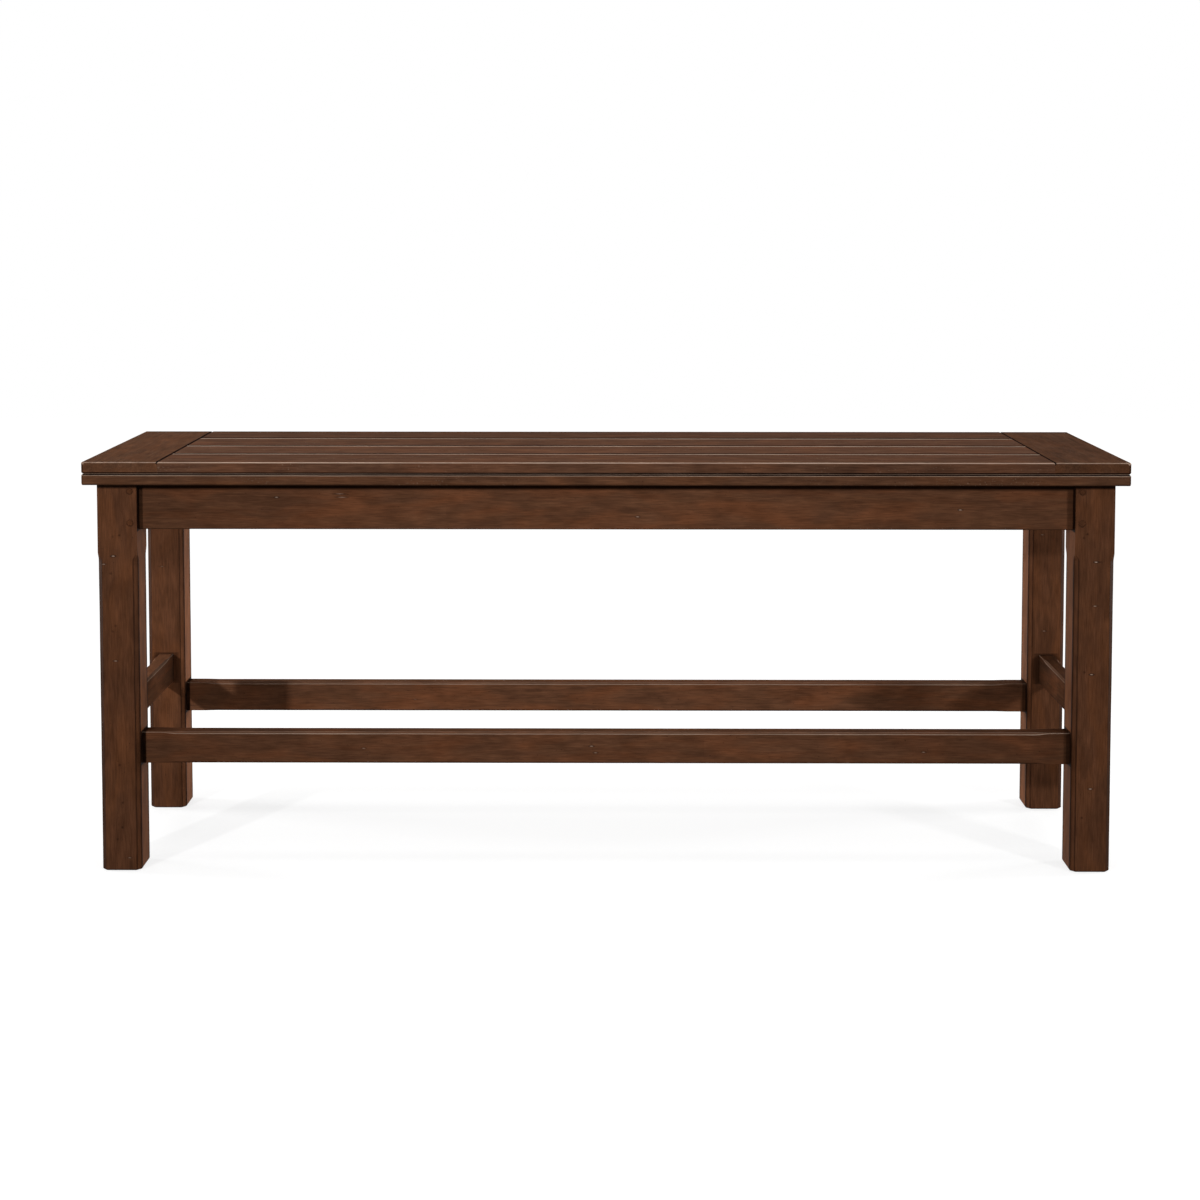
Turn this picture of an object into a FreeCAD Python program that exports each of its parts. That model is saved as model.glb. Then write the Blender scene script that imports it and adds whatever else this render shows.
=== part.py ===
import FreeCAD, Part
import os
import Sketcher

# Counter height bench: a plank seat with boards across its ends, on four posts joined by rails.
# X runs along the bench, Y from its front to its rear, and Z up from the floor. Sizes are in millimetres.

SIZES = [
    ("seat_length", 1524, "seat, end to end"),
    ("seat_depth", 394, "seat, front to rear"),
    ("seat_height", 610, "floor to the top of the seat"),
    ("seat_overhang", 18, "seat edge beyond the outer faces of the legs"),
    ("plank_count", 4, "planks across the seat"),
    ("plank_thickness", 17, "upper layer of the seat"),
    ("plank_chamfer", 1.8, "V-joints in the top of the seat"),
    ("end_width", 111, "board across each end of the seat"),
    ("end_tongue_length", 20, "tongue of a plank in the end board"),
    ("end_tongue_setback", 14, "plank edge to the side of its end tongue"),
    ("tongue_thickness", 6, "all tongues of the planks"),
    ("tongue_depth", 8, "tongue along a plank's edge"),
    ("edge_round", 2, "rounding of the seat's outer edges"),
    ("edge_groove", 2.5, "chamfers of the V-groove between the seat's two layers"),
    ("corner_round", 3.2, "upright corners of the seat"),
    ("strip_thickness", 17, "lower layer of the seat's edge"),
    ("strip_width", 80, "front and rear strips of the lower layer"),
    ("end_strip_width", 105, "left and right strips of the lower layer"),
    ("leg_width", 58, "square section of a leg"),
    ("leg_ease", 2, "eased corners of a leg above its chamfers"),
    ("leg_chamfer", 6, "chamfers of a leg's corners"),
    ("chamfer_drop", 100, "leg top to where the chamfers begin"),
    ("chamfer_stop", 14, "length of the slope that ends a chamfer"),
    ("foot_chamfer", 2.5, "eased edges of the feet"),
    ("apron_height", 69, "rails under the seat"),
    ("apron_thickness", 22, "rails under the seat"),
    ("apron_setback", 12, "outer face of a leg to the face of the apron"),
    ("apron_round", 2, "lower edges of the aprons"),
    ("stretcher_height", 47, "front and rear stretchers"),
    ("stretcher_thickness", 25, "front and rear stretchers"),
    ("stretcher_rise", 157, "floor to the front and rear stretchers"),
    ("side_stretcher_height", 46, "left and right stretchers"),
    ("side_stretcher_thickness", 23, "left and right stretchers"),
    ("side_stretcher_rise", 209, "floor to the left and right stretchers"),
    ("stretcher_chamfer", 3.5, "long edges of all stretchers"),
    ("stretcher_plain_end", 26, "leg to where the chamfers of a stretcher begin"),
    ("stretcher_stop", 26, "length of the slope that ends a chamfer of a stretcher"),
    ("tenon_length", 25, "tenons of the rails in the legs"),
    ("tenon_thickness", 10, "tenons of the rails in the legs"),
    ("tenon_shoulder", 3, "rail edge to the edge of its tenon"),
    ("joint_clearance", 0.2, "room on each side of a tenon, tongue, peg, rail or screw"),
    ("joint_end_gap", 1, "room beyond the end of a tenon, tongue or screw"),
    ("peg_diameter", 9, "pegs through the apron tenons"),
    ("peg_length", 34, "outer end of a peg to its inner end"),
    ("peg_proud", 0.6, "peg end beyond the face of its leg"),
    ("peg_ease", 1, "eased outer end of a peg"),
    ("peg_inset", 10, "inner face of a leg to the axis of a peg"),
    ("peg_edge", 11, "apron edge to the axis of a peg"),
    ("block_height", 45, "braces in the corners of the apron frame"),
    ("block_thickness", 24, "braces in the corners of the apron frame"),
    ("block_leg_gap", 2, "corner of a leg to the face of its brace"),
    ("rail_height", 40, "cross rail below the lower layer of the seat"),
    ("rail_thickness", 24, "cross rails under the planks"),
    ("rail_spacing", 660, "between the middles of the two cross rails"),
    ("rail_housing", 6, "end of a cross rail in the apron"),
    ("screw_diameter", 4.5, "shank of a seat screw"),
    ("screw_tip", 6, "pointed end of a seat screw"),
    ("screw_head_diameter", 9, "head of a seat screw"),
    ("screw_head_height", 3, "head of a seat screw"),
    ("screw_grip", 22, "brace between the head of a screw and the seat"),
    ("screw_bite", 11, "screw in the seat"),
]

TOUCH = 0.001
BOTH_SIDES = (-1, 1)

doc = FreeCAD.newDocument("CounterHeightBench")
sheet = doc.addObject("Spreadsheet::Sheet", "Sizes")
for row, (alias, value, meaning) in enumerate(SIZES, start=1):
    sheet.set(f"A{row}", meaning)
    sheet.set(f"B{row}", str(value))
    sheet.setAlias(f"B{row}", alias)
doc.recompute()

# Places that several pieces share, as expressions of the sizes
PLANK_UNDERSIDE = "(Sizes.seat_height - Sizes.plank_thickness)"
LEG_TOP = f"({PLANK_UNDERSIDE} - Sizes.strip_thickness)"
LEG_X = "(Sizes.seat_length / 2 - Sizes.seat_overhang - Sizes.leg_width / 2)"
LEG_Y = "(Sizes.seat_depth / 2 - Sizes.seat_overhang - Sizes.leg_width / 2)"
LEG_FACE = "Sizes.leg_width / 2"
LONG_SPAN = f"(2 * {LEG_X} - Sizes.leg_width)"
SHORT_SPAN = f"(2 * {LEG_Y} - Sizes.leg_width)"
APRON_OFFSET = "(Sizes.leg_width / 2 - Sizes.apron_setback - Sizes.apron_thickness / 2)"
APRON_MIDDLE = f"({LEG_TOP} - Sizes.apron_height / 2)"
APRON_BACK_X = f"({LEG_X} + {APRON_OFFSET} - Sizes.apron_thickness / 2)"
APRON_BACK_Y = f"({LEG_Y} + {APRON_OFFSET} - Sizes.apron_thickness / 2)"
STRETCHER_MIDDLE = "(Sizes.stretcher_rise + Sizes.stretcher_height / 2)"
SIDE_STRETCHER_MIDDLE = "(Sizes.side_stretcher_rise + Sizes.side_stretcher_height / 2)"
PLANK_PITCH = "(Sizes.seat_depth / Sizes.plank_count)"
PLANK_LENGTH = "(Sizes.seat_length - 2 * Sizes.end_width)"
PEG_RISE = "(Sizes.apron_height / 2 - Sizes.peg_edge)"
RAIL_X = "(Sizes.rail_spacing / 2)"
# A brace fills the band between these two sums of distances from the inner faces of its two aprons.
LEG_INSIDE = "(Sizes.leg_width - Sizes.apron_setback - Sizes.apron_thickness)"
BLOCK_NEAR = f"(2 * {LEG_INSIDE} + Sizes.block_leg_gap * sqrt(2))"
BLOCK_FAR = f"({BLOCK_NEAR} + Sizes.block_thickness * sqrt(2))"
BLOCK_CENTRE = f"(({BLOCK_NEAR} + {BLOCK_FAR}) / 4)"
PEG_BORE = "(Sizes.peg_diameter + 2 * Sizes.joint_clearance)"
PILOT = "(Sizes.screw_diameter + 2 * Sizes.joint_clearance)"
HEAD_BORE = "(Sizes.screw_head_diameter + 2 * Sizes.joint_clearance)"


def upright_turn(degrees):
    """A turn about the vertical."""
    return FreeCAD.Rotation(FreeCAD.Vector(0, 0, 1), degrees)


def rolling_turn(degrees):
    """A turn about the axis along the piece."""
    return FreeCAD.Rotation(FreeCAD.Vector(1, 0, 0), degrees)


def pointing(x, y, z):
    """The turn that brings the upright axis to the given direction."""
    return FreeCAD.Rotation(FreeCAD.Vector(0, 0, 1), FreeCAD.Vector(x, y, z))


def new_body(label, place, turn=upright_turn(0)):
    """An empty body at a place given by three expressions, with a fixed turn."""
    body = doc.addObject("PartDesign::Body", label)
    body.Label = label
    body.Placement = FreeCAD.Placement(FreeCAD.Vector(), turn)
    for axis, expression in zip("xyz", place):
        body.setExpression(f"Placement.Base.{axis}", expression)
    return body


def origin_feature(body, role):
    """The body's own origin plane or axis of that role."""
    return next(feature for feature in body.Origin.OriginFeatures if feature.Role == role)


def new_sketch(body, name, plane, shift=("0", "0", "0"), turn=upright_turn(0)):
    """An empty sketch on one of the body's origin planes, moved along its own axes by three expressions."""
    sketch = body.newObject("Sketcher::SketchObject", name)
    sketch.AttachmentSupport = [(origin_feature(body, plane), "")]
    sketch.MapMode = "FlatFace"
    sketch.AttachmentOffset = FreeCAD.Placement(FreeCAD.Vector(), turn)
    for axis, expression in zip("xyz", shift):
        sketch.setExpression(f"AttachmentOffset.Base.{axis}", expression)
    return sketch


def add_loop(sketch, points):
    """Closed loop of lines through rough points; line i starts at point i."""
    corners = [FreeCAD.Vector(x, y, 0) for x, y in points]
    for start, end in zip(corners, corners[1:] + corners[:1]):
        sketch.addGeometry(Part.LineSegment(start, end))
    for line in range(len(corners)):
        following = (line + 1) % len(corners)
        sketch.addConstraint(Sketcher.Constraint("Coincident", line, 2, following, 1))


def add_size(sketch, constraint, expression):
    """Size constraint of a sketch, bound to an expression."""
    number = sketch.addConstraint(constraint)
    sketch.setExpression(f"Constraints[{number}]", expression)


def rectangle(body, name, plane, width, height, shift=("0", "0", "0"), turn=upright_turn(0)):
    """Sketch of a rectangle centred on the sketch's own origin."""
    sketch = new_sketch(body, name, plane, shift, turn)
    add_loop(sketch, [(-5, -5), (5, -5), (5, 5), (-5, 5)])
    for line, direction in enumerate(("Horizontal", "Vertical", "Horizontal", "Vertical")):
        sketch.addConstraint(Sketcher.Constraint(direction, line))
    sketch.addConstraint(Sketcher.Constraint("Symmetric", 0, 1, 1, 2, -1, 1))
    add_size(sketch, Sketcher.Constraint("DistanceX", 0, 1, 0, 2, 10), width)
    add_size(sketch, Sketcher.Constraint("DistanceY", 1, 1, 1, 2, 10), height)
    return sketch


def trapezoid(body, name, plane, lower, upper, height, shift, turn):
    """Sketch of an even trapezoid, with half of its height on each side of the sketch's own origin."""
    sketch = new_sketch(body, name, plane, shift, turn)
    add_loop(sketch, [(-5, -5), (5, -5), (8, 5), (-8, 5)])
    for level in (0, 2):
        sketch.addConstraint(Sketcher.Constraint("Symmetric", level, 1, level, 2, -2))
    add_size(sketch, Sketcher.Constraint("DistanceX", 0, 1, 0, 2, 10), lower)
    add_size(sketch, Sketcher.Constraint("DistanceX", 2, 2, 2, 1, 16), upper)
    add_size(sketch, Sketcher.Constraint("DistanceY", 0, 1, -1, 1, 5), f"{height} / 2")
    add_size(sketch, Sketcher.Constraint("DistanceY", -1, 1, 2, 1, 5), f"{height} / 2")
    return sketch


def outline(body, name, plane, points):
    """Sketch of a loop through points given by expressions, none of them negative; "0" lies on an axis."""
    sketch = new_sketch(body, name, plane)
    rough = [(sheet_value(x), sheet_value(y)) for x, y in points]
    add_loop(sketch, rough)
    for line, (x, y) in enumerate(points):
        if x == "0":
            sketch.addConstraint(Sketcher.Constraint("PointOnObject", line, 1, -2))
        else:
            add_size(sketch, Sketcher.Constraint("DistanceX", -1, 1, line, 1, rough[line][0]), x)
        if y == "0":
            sketch.addConstraint(Sketcher.Constraint("PointOnObject", line, 1, -1))
        else:
            add_size(sketch, Sketcher.Constraint("DistanceY", -1, 1, line, 1, rough[line][1]), y)
    return sketch


def sheet_value(expression):
    """The value that an expression of the sizes has now."""
    return float(sheet.evalExpression(expression.replace("Sizes.", "")))


def pad(body, name, sketch, length, symmetric=False):
    """Solid raised from a sketch along its normal, or to both sides of it."""
    feature = body.newObject("PartDesign::Pad", name)
    feature.Profile = sketch
    feature.SideType = "Symmetric" if symmetric else "One side"
    feature.setExpression("Length", length)
    return feature


def pocket(body, name, sketch, length, forwards=False, symmetric=False):
    """Cut against a sketch's normal, along it when forwards, or to both sides."""
    feature = body.newObject("PartDesign::Pocket", name)
    feature.Profile = sketch
    feature.SideType = "Symmetric" if symmetric else "One side"
    feature.Reversed = forwards
    feature.setExpression("Length", length)
    return feature


def bore(body, name, plane, shift, diameter, depth, forwards=False, symmetric=False):
    """Round hole drilled from a plane that is moved by three expressions."""
    sketch = new_sketch(body, name + "_circle", plane, shift)
    sketch.addGeometry(Part.Circle(FreeCAD.Vector(), FreeCAD.Vector(0, 0, 1), 5))
    sketch.addConstraint(Sketcher.Constraint("Coincident", 0, 3, -1, 1))
    add_size(sketch, Sketcher.Constraint("Diameter", 0, 10), diameter)
    return pocket(body, name, sketch, depth, forwards, symmetric)


def edges_on(shape, wanted, unwanted=()):
    """Names of the edges that lie on all the wanted sides of a shape's box and on none of the unwanted."""

    def lies_on(edge, side):
        limit = getattr(shape.BoundBox, side)
        low = getattr(edge.BoundBox, side[0] + "Min")
        high = getattr(edge.BoundBox, side[0] + "Max")
        return abs(low - limit) < TOUCH and abs(high - limit) < TOUCH

    names = []
    for number, edge in enumerate(shape.Edges, start=1):
        on_wanted = all(lies_on(edge, side) for side in wanted)
        if on_wanted and not any(lies_on(edge, side) for side in unwanted):
            names.append(f"Edge{number}")
    return names


def ease(body, kind, name, edge_groups, size, unwanted=()):
    """Chamfer or fillet on the edges that lie on each group of sides of the body so far."""
    doc.recompute()
    base = body.Tip
    names = []
    for wanted in edge_groups:
        names += edges_on(base.Shape, wanted, unwanted)
    feature = body.newObject(f"PartDesign::{kind}", name)
    feature.Base = (base, names)
    feature.setExpression("Radius" if kind == "Fillet" else "Size", size)
    return feature


def spin(body, name, points):
    """Solid turned about the body's upright axis from a half profile."""
    feature = body.newObject("PartDesign::Revolution", name)
    sketch = outline(body, name + "_profile", "XZ_Plane", points)
    feature.Profile = sketch
    feature.ReferenceAxis = (sketch, ["V_Axis"])
    return feature


def group(label, bodies):
    """One sub-part of several like solids."""
    compound = doc.addObject("Part::Compound", label)
    compound.Label = label
    compound.Links = bodies
    return compound


def plank_middle(index):
    """Middle of a plank, counted from the front, as a place across the seat."""
    return f"({PLANK_PITCH} * ({index} - (Sizes.plank_count - 1) / 2))"


def seat_end(label, side):
    """Board across an end of the seat, with a mortise for the tongue of every plank."""
    place = (f"{side} * (Sizes.seat_length - Sizes.end_width) / 2", "0", PLANK_UNDERSIDE)
    body = new_body(label, place, upright_turn(0 if side < 0 else 180))
    board = rectangle(body, "board_outline", "XY_Plane", "Sizes.end_width", "Sizes.seat_depth")
    pad(body, "board", board, "Sizes.plank_thickness")
    ease(body, "Fillet", "corners", [("XMin", "YMin"), ("XMin", "YMax")], "Sizes.corner_round")
    ease(body, "Chamfer", "groove_edge", [("ZMin",)], "Sizes.edge_groove", unwanted=("XMax",))
    ease(body, "Fillet", "top_edge", [("ZMax",)], "Sizes.edge_round", unwanted=("XMax",))
    ease(body, "Chamfer", "joint_edge", [("ZMax", "XMax")], "Sizes.plank_chamfer")
    width = f"{PLANK_PITCH} - 2 * Sizes.end_tongue_setback + 2 * Sizes.joint_clearance"
    height = "Sizes.tongue_thickness + 2 * Sizes.joint_clearance"
    mouth = rectangle(body, "mortise_mouth", "YZ_Plane", width, height,
                      (plank_middle(0), "Sizes.plank_thickness / 2", "Sizes.end_width / 2"))
    mortise = pocket(body, "mortise", mouth, "Sizes.end_tongue_length + Sizes.joint_end_gap")
    doc.recompute()
    row_of_mortises = body.newObject("PartDesign::LinearPattern", "row_of_mortises")
    row_of_mortises.Originals = [mortise]
    row_of_mortises.Direction = (origin_feature(body, "Y_Axis"), [""])
    row_of_mortises.setExpression("Length", f"{PLANK_PITCH} * (Sizes.plank_count - 1)")
    row_of_mortises.setExpression("Occurrences", "Sizes.plank_count")
    body.Tip = row_of_mortises
    return body


def seat_plank(label, index, count):
    """Plank along the seat: tongues at its ends and its rear edge, a groove in its front edge."""
    is_front = index == 0
    is_rear = index == count - 1
    place = ("0", plank_middle(index), PLANK_UNDERSIDE)
    body = new_body(label, place)
    middle = ("0", "Sizes.plank_thickness / 2", "0")
    section = rectangle(body, "plank_section", "YZ_Plane", PLANK_PITCH, "Sizes.plank_thickness", middle)
    pad(body, "plank", section, PLANK_LENGTH, symmetric=True)
    joint_edges = [("ZMax", "XMin"), ("ZMax", "XMax")]
    outer_sides = []
    for side, is_outer in (("YMin", is_front), ("YMax", is_rear)):
        if is_outer:
            outer_sides.append(side)
        else:
            joint_edges.append(("ZMax", side))
    ease(body, "Chamfer", "joint_edges", joint_edges, "Sizes.plank_chamfer")
    for side in outer_sides:
        ease(body, "Chamfer", "groove_edge", [("ZMin", side)], "Sizes.edge_groove")
        ease(body, "Fillet", "top_edge", [("ZMax", side)], "Sizes.edge_round")
    end_tongue_width = f"{PLANK_PITCH} - 2 * Sizes.end_tongue_setback"
    end_section = rectangle(body, "end_tongue_section", "YZ_Plane", end_tongue_width,
                            "Sizes.tongue_thickness", middle)
    pad(body, "end_tongues", end_section, f"{PLANK_LENGTH} + 2 * Sizes.end_tongue_length", symmetric=True)
    if not is_rear:
        tongue_middle = f"({PLANK_PITCH} + Sizes.tongue_depth) / 2"
        tongue = rectangle(body, "tongue_section", "YZ_Plane", "Sizes.tongue_depth",
                           "Sizes.tongue_thickness", (tongue_middle, "Sizes.plank_thickness / 2", "0"))
        pad(body, "tongue", tongue, PLANK_LENGTH, symmetric=True)
    if not is_front:
        groove_depth = "(Sizes.tongue_depth + Sizes.joint_end_gap)"
        groove = rectangle(body, "groove_section", "YZ_Plane", groove_depth,
                           "Sizes.tongue_thickness + 2 * Sizes.joint_clearance",
                           (f"({groove_depth} - {PLANK_PITCH}) / 2", "Sizes.plank_thickness / 2", "0"))
        pocket(body, "groove", groove, PLANK_LENGTH, symmetric=True)
    return body


def long_edge_strip(label, side):
    """Strip under the seat's front or rear edge, over the whole length of the seat."""
    place = ("0", f"{side} * (Sizes.seat_depth - Sizes.strip_width) / 2", LEG_TOP)
    body = new_body(label, place, upright_turn(0 if side < 0 else 180))
    strip = rectangle(body, "strip_outline", "XY_Plane", "Sizes.seat_length", "Sizes.strip_width")
    pad(body, "strip", strip, "Sizes.strip_thickness")
    ease(body, "Fillet", "corners", [("XMin", "YMin"), ("XMax", "YMin")], "Sizes.corner_round")
    ease(body, "Chamfer", "groove_edge", [("ZMax",)], "Sizes.edge_groove", unwanted=("YMax",))
    ease(body, "Fillet", "lower_edge", [("ZMin",)], "Sizes.edge_round", unwanted=("YMax",))
    return body


def end_edge_strip(label, side):
    """Strip under an end of the seat, between the two long strips."""
    place = (f"{side} * (Sizes.seat_length - Sizes.end_strip_width) / 2", "0", LEG_TOP)
    body = new_body(label, place, upright_turn(0 if side < 0 else 180))
    strip = rectangle(body, "strip_outline", "XY_Plane", "Sizes.end_strip_width",
                      "Sizes.seat_depth - 2 * Sizes.strip_width")
    pad(body, "strip", strip, "Sizes.strip_thickness")
    ease(body, "Chamfer", "groove_edge", [("ZMax", "XMin")], "Sizes.edge_groove")
    ease(body, "Fillet", "lower_edge", [("ZMin", "XMin")], "Sizes.edge_round")
    screw_x = f"(Sizes.seat_length - Sizes.end_strip_width) / 2 - {APRON_BACK_X} + {BLOCK_CENTRE}"
    screw_y = f"({APRON_BACK_Y} - {BLOCK_CENTRE})"
    for end, name in zip(BOTH_SIDES, ("front", "rear")):
        bore(body, f"{name}_screw_hole", "XY_Plane", (screw_x, f"{end} * {screw_y}", "0"), PILOT,
             "Sizes.screw_bite + Sizes.joint_end_gap", forwards=True)
    return body


def leg(label, side, end):
    """Square post with stopped chamfers, mortised on its two inner faces and bored for its pegs."""
    body = new_body(label, (f"{side} * {LEG_X}", f"{end} * {LEG_Y}", "0"))
    section = rectangle(body, "post_section", "XY_Plane", "Sizes.leg_width", "Sizes.leg_width")
    pad(body, "post", section, LEG_TOP)
    corners = [("XMin", "YMin"), ("XMax", "YMin"), ("XMin", "YMax"), ("XMax", "YMax")]
    ease(body, "Chamfer", "corners", corners, "Sizes.leg_ease")
    stop_chamfers(body)
    ease(body, "Chamfer", "foot_edges", [("ZMin",)], "Sizes.foot_chamfer")
    inward_x = -side
    inward_y = -end
    apron_tenon = "Sizes.apron_height - 2 * Sizes.tenon_shoulder + 2 * Sizes.joint_clearance"
    long_tenon = "Sizes.stretcher_height - 2 * Sizes.tenon_shoulder + 2 * Sizes.joint_clearance"
    side_tenon = "Sizes.side_stretcher_height - 2 * Sizes.tenon_shoulder + 2 * Sizes.joint_clearance"
    towards_long_apron = f"{end} * {APRON_OFFSET}"
    towards_side_apron = f"{side} * {APRON_OFFSET}"
    leg_mortise(body, "long_apron", "YZ_Plane", inward_x, towards_long_apron, APRON_MIDDLE, apron_tenon)
    leg_mortise(body, "long_stretcher", "YZ_Plane", inward_x, "0", STRETCHER_MIDDLE, long_tenon)
    leg_mortise(body, "side_apron", "XZ_Plane", inward_y, towards_side_apron, APRON_MIDDLE, apron_tenon)
    leg_mortise(body, "side_stretcher", "XZ_Plane", inward_y, "0", SIDE_STRETCHER_MIDDLE, side_tenon)
    peg_x = f"{inward_x} * ({LEG_FACE} - Sizes.peg_inset)"
    for rise, name in zip(BOTH_SIDES, ("lower", "upper")):
        peg_z = f"{APRON_MIDDLE} + {rise} * {PEG_RISE}"
        bore(body, f"{name}_peg_hole", "XZ_Plane", (peg_x, peg_z, f"{inward_y} * {LEG_FACE}"),
             PEG_BORE, "Sizes.peg_length - Sizes.peg_proud", forwards=end > 0)
    return body


def stop_chamfers(body):
    """Chamfers on all four corners of a post, from the foot up to a slope that runs out on the corner."""
    chamfer_top = f"({LEG_TOP} - Sizes.chamfer_drop - Sizes.chamfer_stop)"
    corner = ("Sizes.leg_width / 2", "Sizes.leg_width / 2", "0")
    square = rectangle(body, "chamfer_square", "XY_Plane", "Sizes.leg_chamfer * sqrt(2)",
                       "Sizes.leg_chamfer * sqrt(2)", corner, upright_turn(45))
    chamfer = pocket(body, "chamfer", square, chamfer_top, forwards=True)
    doc.recompute()
    stop = body.newObject("PartDesign::SubtractiveWedge", "chamfer_slope")
    for axis in "XZ":
        stop.setExpression(f"{axis}min", "-Sizes.leg_chamfer / sqrt(2)")
        stop.setExpression(f"{axis}max", "Sizes.leg_chamfer / sqrt(2)")
        setattr(stop, f"{axis}2min", 0)
        setattr(stop, f"{axis}2max", 0)
    stop.Ymin = 0
    stop.setExpression("Ymax", "Sizes.chamfer_stop")
    on_its_base = rolling_turn(90)
    stop.Placement = FreeCAD.Placement(FreeCAD.Vector(), upright_turn(45).multiply(on_its_base))
    for axis, expression in zip("xyz", (corner[0], corner[1], chamfer_top)):
        stop.setExpression(f"Placement.Base.{axis}", expression)
    doc.recompute()
    four_corners = body.newObject("PartDesign::PolarPattern", "four_corners")
    four_corners.Originals = [chamfer, stop]
    four_corners.Axis = (origin_feature(body, "Z_Axis"), [""])
    four_corners.Angle = 360
    four_corners.Occurrences = 4
    body.Tip = four_corners


def leg_mortise(body, name, plane, inward, offset, middle, height):
    """Mortise in the inner face of a leg; the normal of the XZ plane points to the front."""
    along_normal = inward if plane == "YZ_Plane" else -inward
    width = "Sizes.tenon_thickness + 2 * Sizes.joint_clearance"
    depth = "Sizes.tenon_length + Sizes.joint_end_gap"
    mouth = rectangle(body, f"{name}_mouth", plane, width, height,
                      (offset, middle, f"{along_normal} * {LEG_FACE}"))
    pocket(body, f"{name}_mortise", mouth, depth, forwards=along_normal < 0)


def tenoned_rail(label, place, turn, span, thickness, height, shape_edges):
    """Board between two legs, with a tenon at each end."""
    body = new_body(label, place, upright_turn(turn))
    pad(body, "rail", rectangle(body, "rail_section", "YZ_Plane", thickness, height), span, symmetric=True)
    shape_edges(body, span, thickness, height)
    tenon = rectangle(body, "tenon_section", "YZ_Plane", "Sizes.tenon_thickness",
                      f"{height} - 2 * Sizes.tenon_shoulder")
    pad(body, "tenons", tenon, f"{span} + 2 * Sizes.tenon_length", symmetric=True)
    return body


def round_lower_edges(body, *rail_sizes):
    """Eased lower edges of an apron, whatever its sizes."""
    ease(body, "Fillet", "lower_edges", [("ZMin", "YMin"), ("ZMin", "YMax")], "Sizes.apron_round")


def stop_long_chamfers(body, span, thickness, height):
    """Chamfers on all four long edges of a stretcher, with slopes at both ends that run out on the edge.

    Each is one cut: a trapezoid in the plane that halves the edge, cut through to both sides of it.
    """
    edge_length = f"({span} - 2 * Sizes.stretcher_plain_end)"
    bottom_length = f"({edge_length} - 2 * Sizes.stretcher_stop)"
    mouth_length = f"({edge_length} + 2 * Sizes.stretcher_stop)"
    for rise, level in zip(BOTH_SIDES, ("lower", "upper")):
        for end, face in zip(BOTH_SIDES, ("front", "rear")):
            edge = ("0", f"{end} * {thickness} / 2", f"{rise} * {height} / 2")
            outward = rolling_turn(rise * (90 - 45 * end))
            cut = trapezoid(body, f"{level}_{face}_chamfer_outline", "XY_Plane", bottom_length, mouth_length,
                            "Sizes.stretcher_chamfer * sqrt(2)", edge, outward)
            pocket(body, f"{level}_{face}_chamfer", cut, "2 * Sizes.stretcher_chamfer", symmetric=True)


def long_apron(label, end):
    """Front or rear apron, bored for the pegs and housed for the cross rails; its face is at -Y."""
    turn = 0 if end < 0 else 180
    place = ("0", f"{end} * ({LEG_Y} + {APRON_OFFSET})", APRON_MIDDLE)
    body = tenoned_rail(label, place, turn, LONG_SPAN, "Sizes.apron_thickness", "Sizes.apron_height",
                        round_lower_edges)
    back = "-Sizes.apron_thickness / 2"
    housing_height = "(Sizes.rail_height + Sizes.joint_clearance)"
    housing_depth = "Sizes.rail_housing + Sizes.joint_end_gap"
    for side, side_name in zip(BOTH_SIDES, ("left", "right")):
        for rise, rise_name in zip(BOTH_SIDES, ("lower", "upper")):
            peg_shift = (f"{side} * ({LONG_SPAN} / 2 + Sizes.peg_inset)", f"{rise} * {PEG_RISE}", "0")
            bore(body, f"{side_name}_{rise_name}_peg_hole", "XZ_Plane", peg_shift, PEG_BORE,
                 "Sizes.apron_thickness", symmetric=True)
        housing_shift = (f"{side} * {RAIL_X}", f"(Sizes.apron_height - {housing_height}) / 2", back)
        housing = rectangle(body, f"{side_name}_housing_mouth", "XZ_Plane",
                            "Sizes.rail_thickness + 2 * Sizes.joint_clearance", housing_height, housing_shift)
        pocket(body, f"{side_name}_housing", housing, housing_depth, forwards=True)
    return body


def side_apron(label, side):
    """Left or right apron; its face is at -Y before it is turned."""
    place = (f"{side} * ({LEG_X} + {APRON_OFFSET})", "0", APRON_MIDDLE)
    return tenoned_rail(label, place, 90 * side, SHORT_SPAN, "Sizes.apron_thickness", "Sizes.apron_height",
                        round_lower_edges)


def long_stretcher(label, end):
    """Front or rear stretcher."""
    return tenoned_rail(label, ("0", f"{end} * {LEG_Y}", STRETCHER_MIDDLE), 0, LONG_SPAN,
                        "Sizes.stretcher_thickness", "Sizes.stretcher_height", stop_long_chamfers)


def side_stretcher(label, side):
    """Left or right stretcher, above the level of the long ones."""
    return tenoned_rail(label, (f"{side} * {LEG_X}", "0", SIDE_STRETCHER_MIDDLE), 90, SHORT_SPAN,
                        "Sizes.side_stretcher_thickness", "Sizes.side_stretcher_height", stop_long_chamfers)


def corner_block(label, side, end, turn):
    """Brace across a corner of the apron frame, bored for a screw up into the seat."""
    place = (f"{side} * {APRON_BACK_X}", f"{end} * {APRON_BACK_Y}", f"{LEG_TOP} - Sizes.block_height")
    body = new_body(label, place, upright_turn(turn))
    points = [(BLOCK_NEAR, "0"), (BLOCK_FAR, "0"), ("0", BLOCK_FAR), ("0", BLOCK_NEAR)]
    pad(body, "block", outline(body, "block_outline", "XY_Plane", points), "Sizes.block_height")
    below = (BLOCK_CENTRE, BLOCK_CENTRE, "0")
    bore(body, "screw_hole", "XY_Plane", below, PILOT, "Sizes.block_height", forwards=True)
    head_depth = "Sizes.block_height - Sizes.screw_grip"
    bore(body, "head_bore", "XY_Plane", below, HEAD_BORE, head_depth, forwards=True)
    return body


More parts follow.
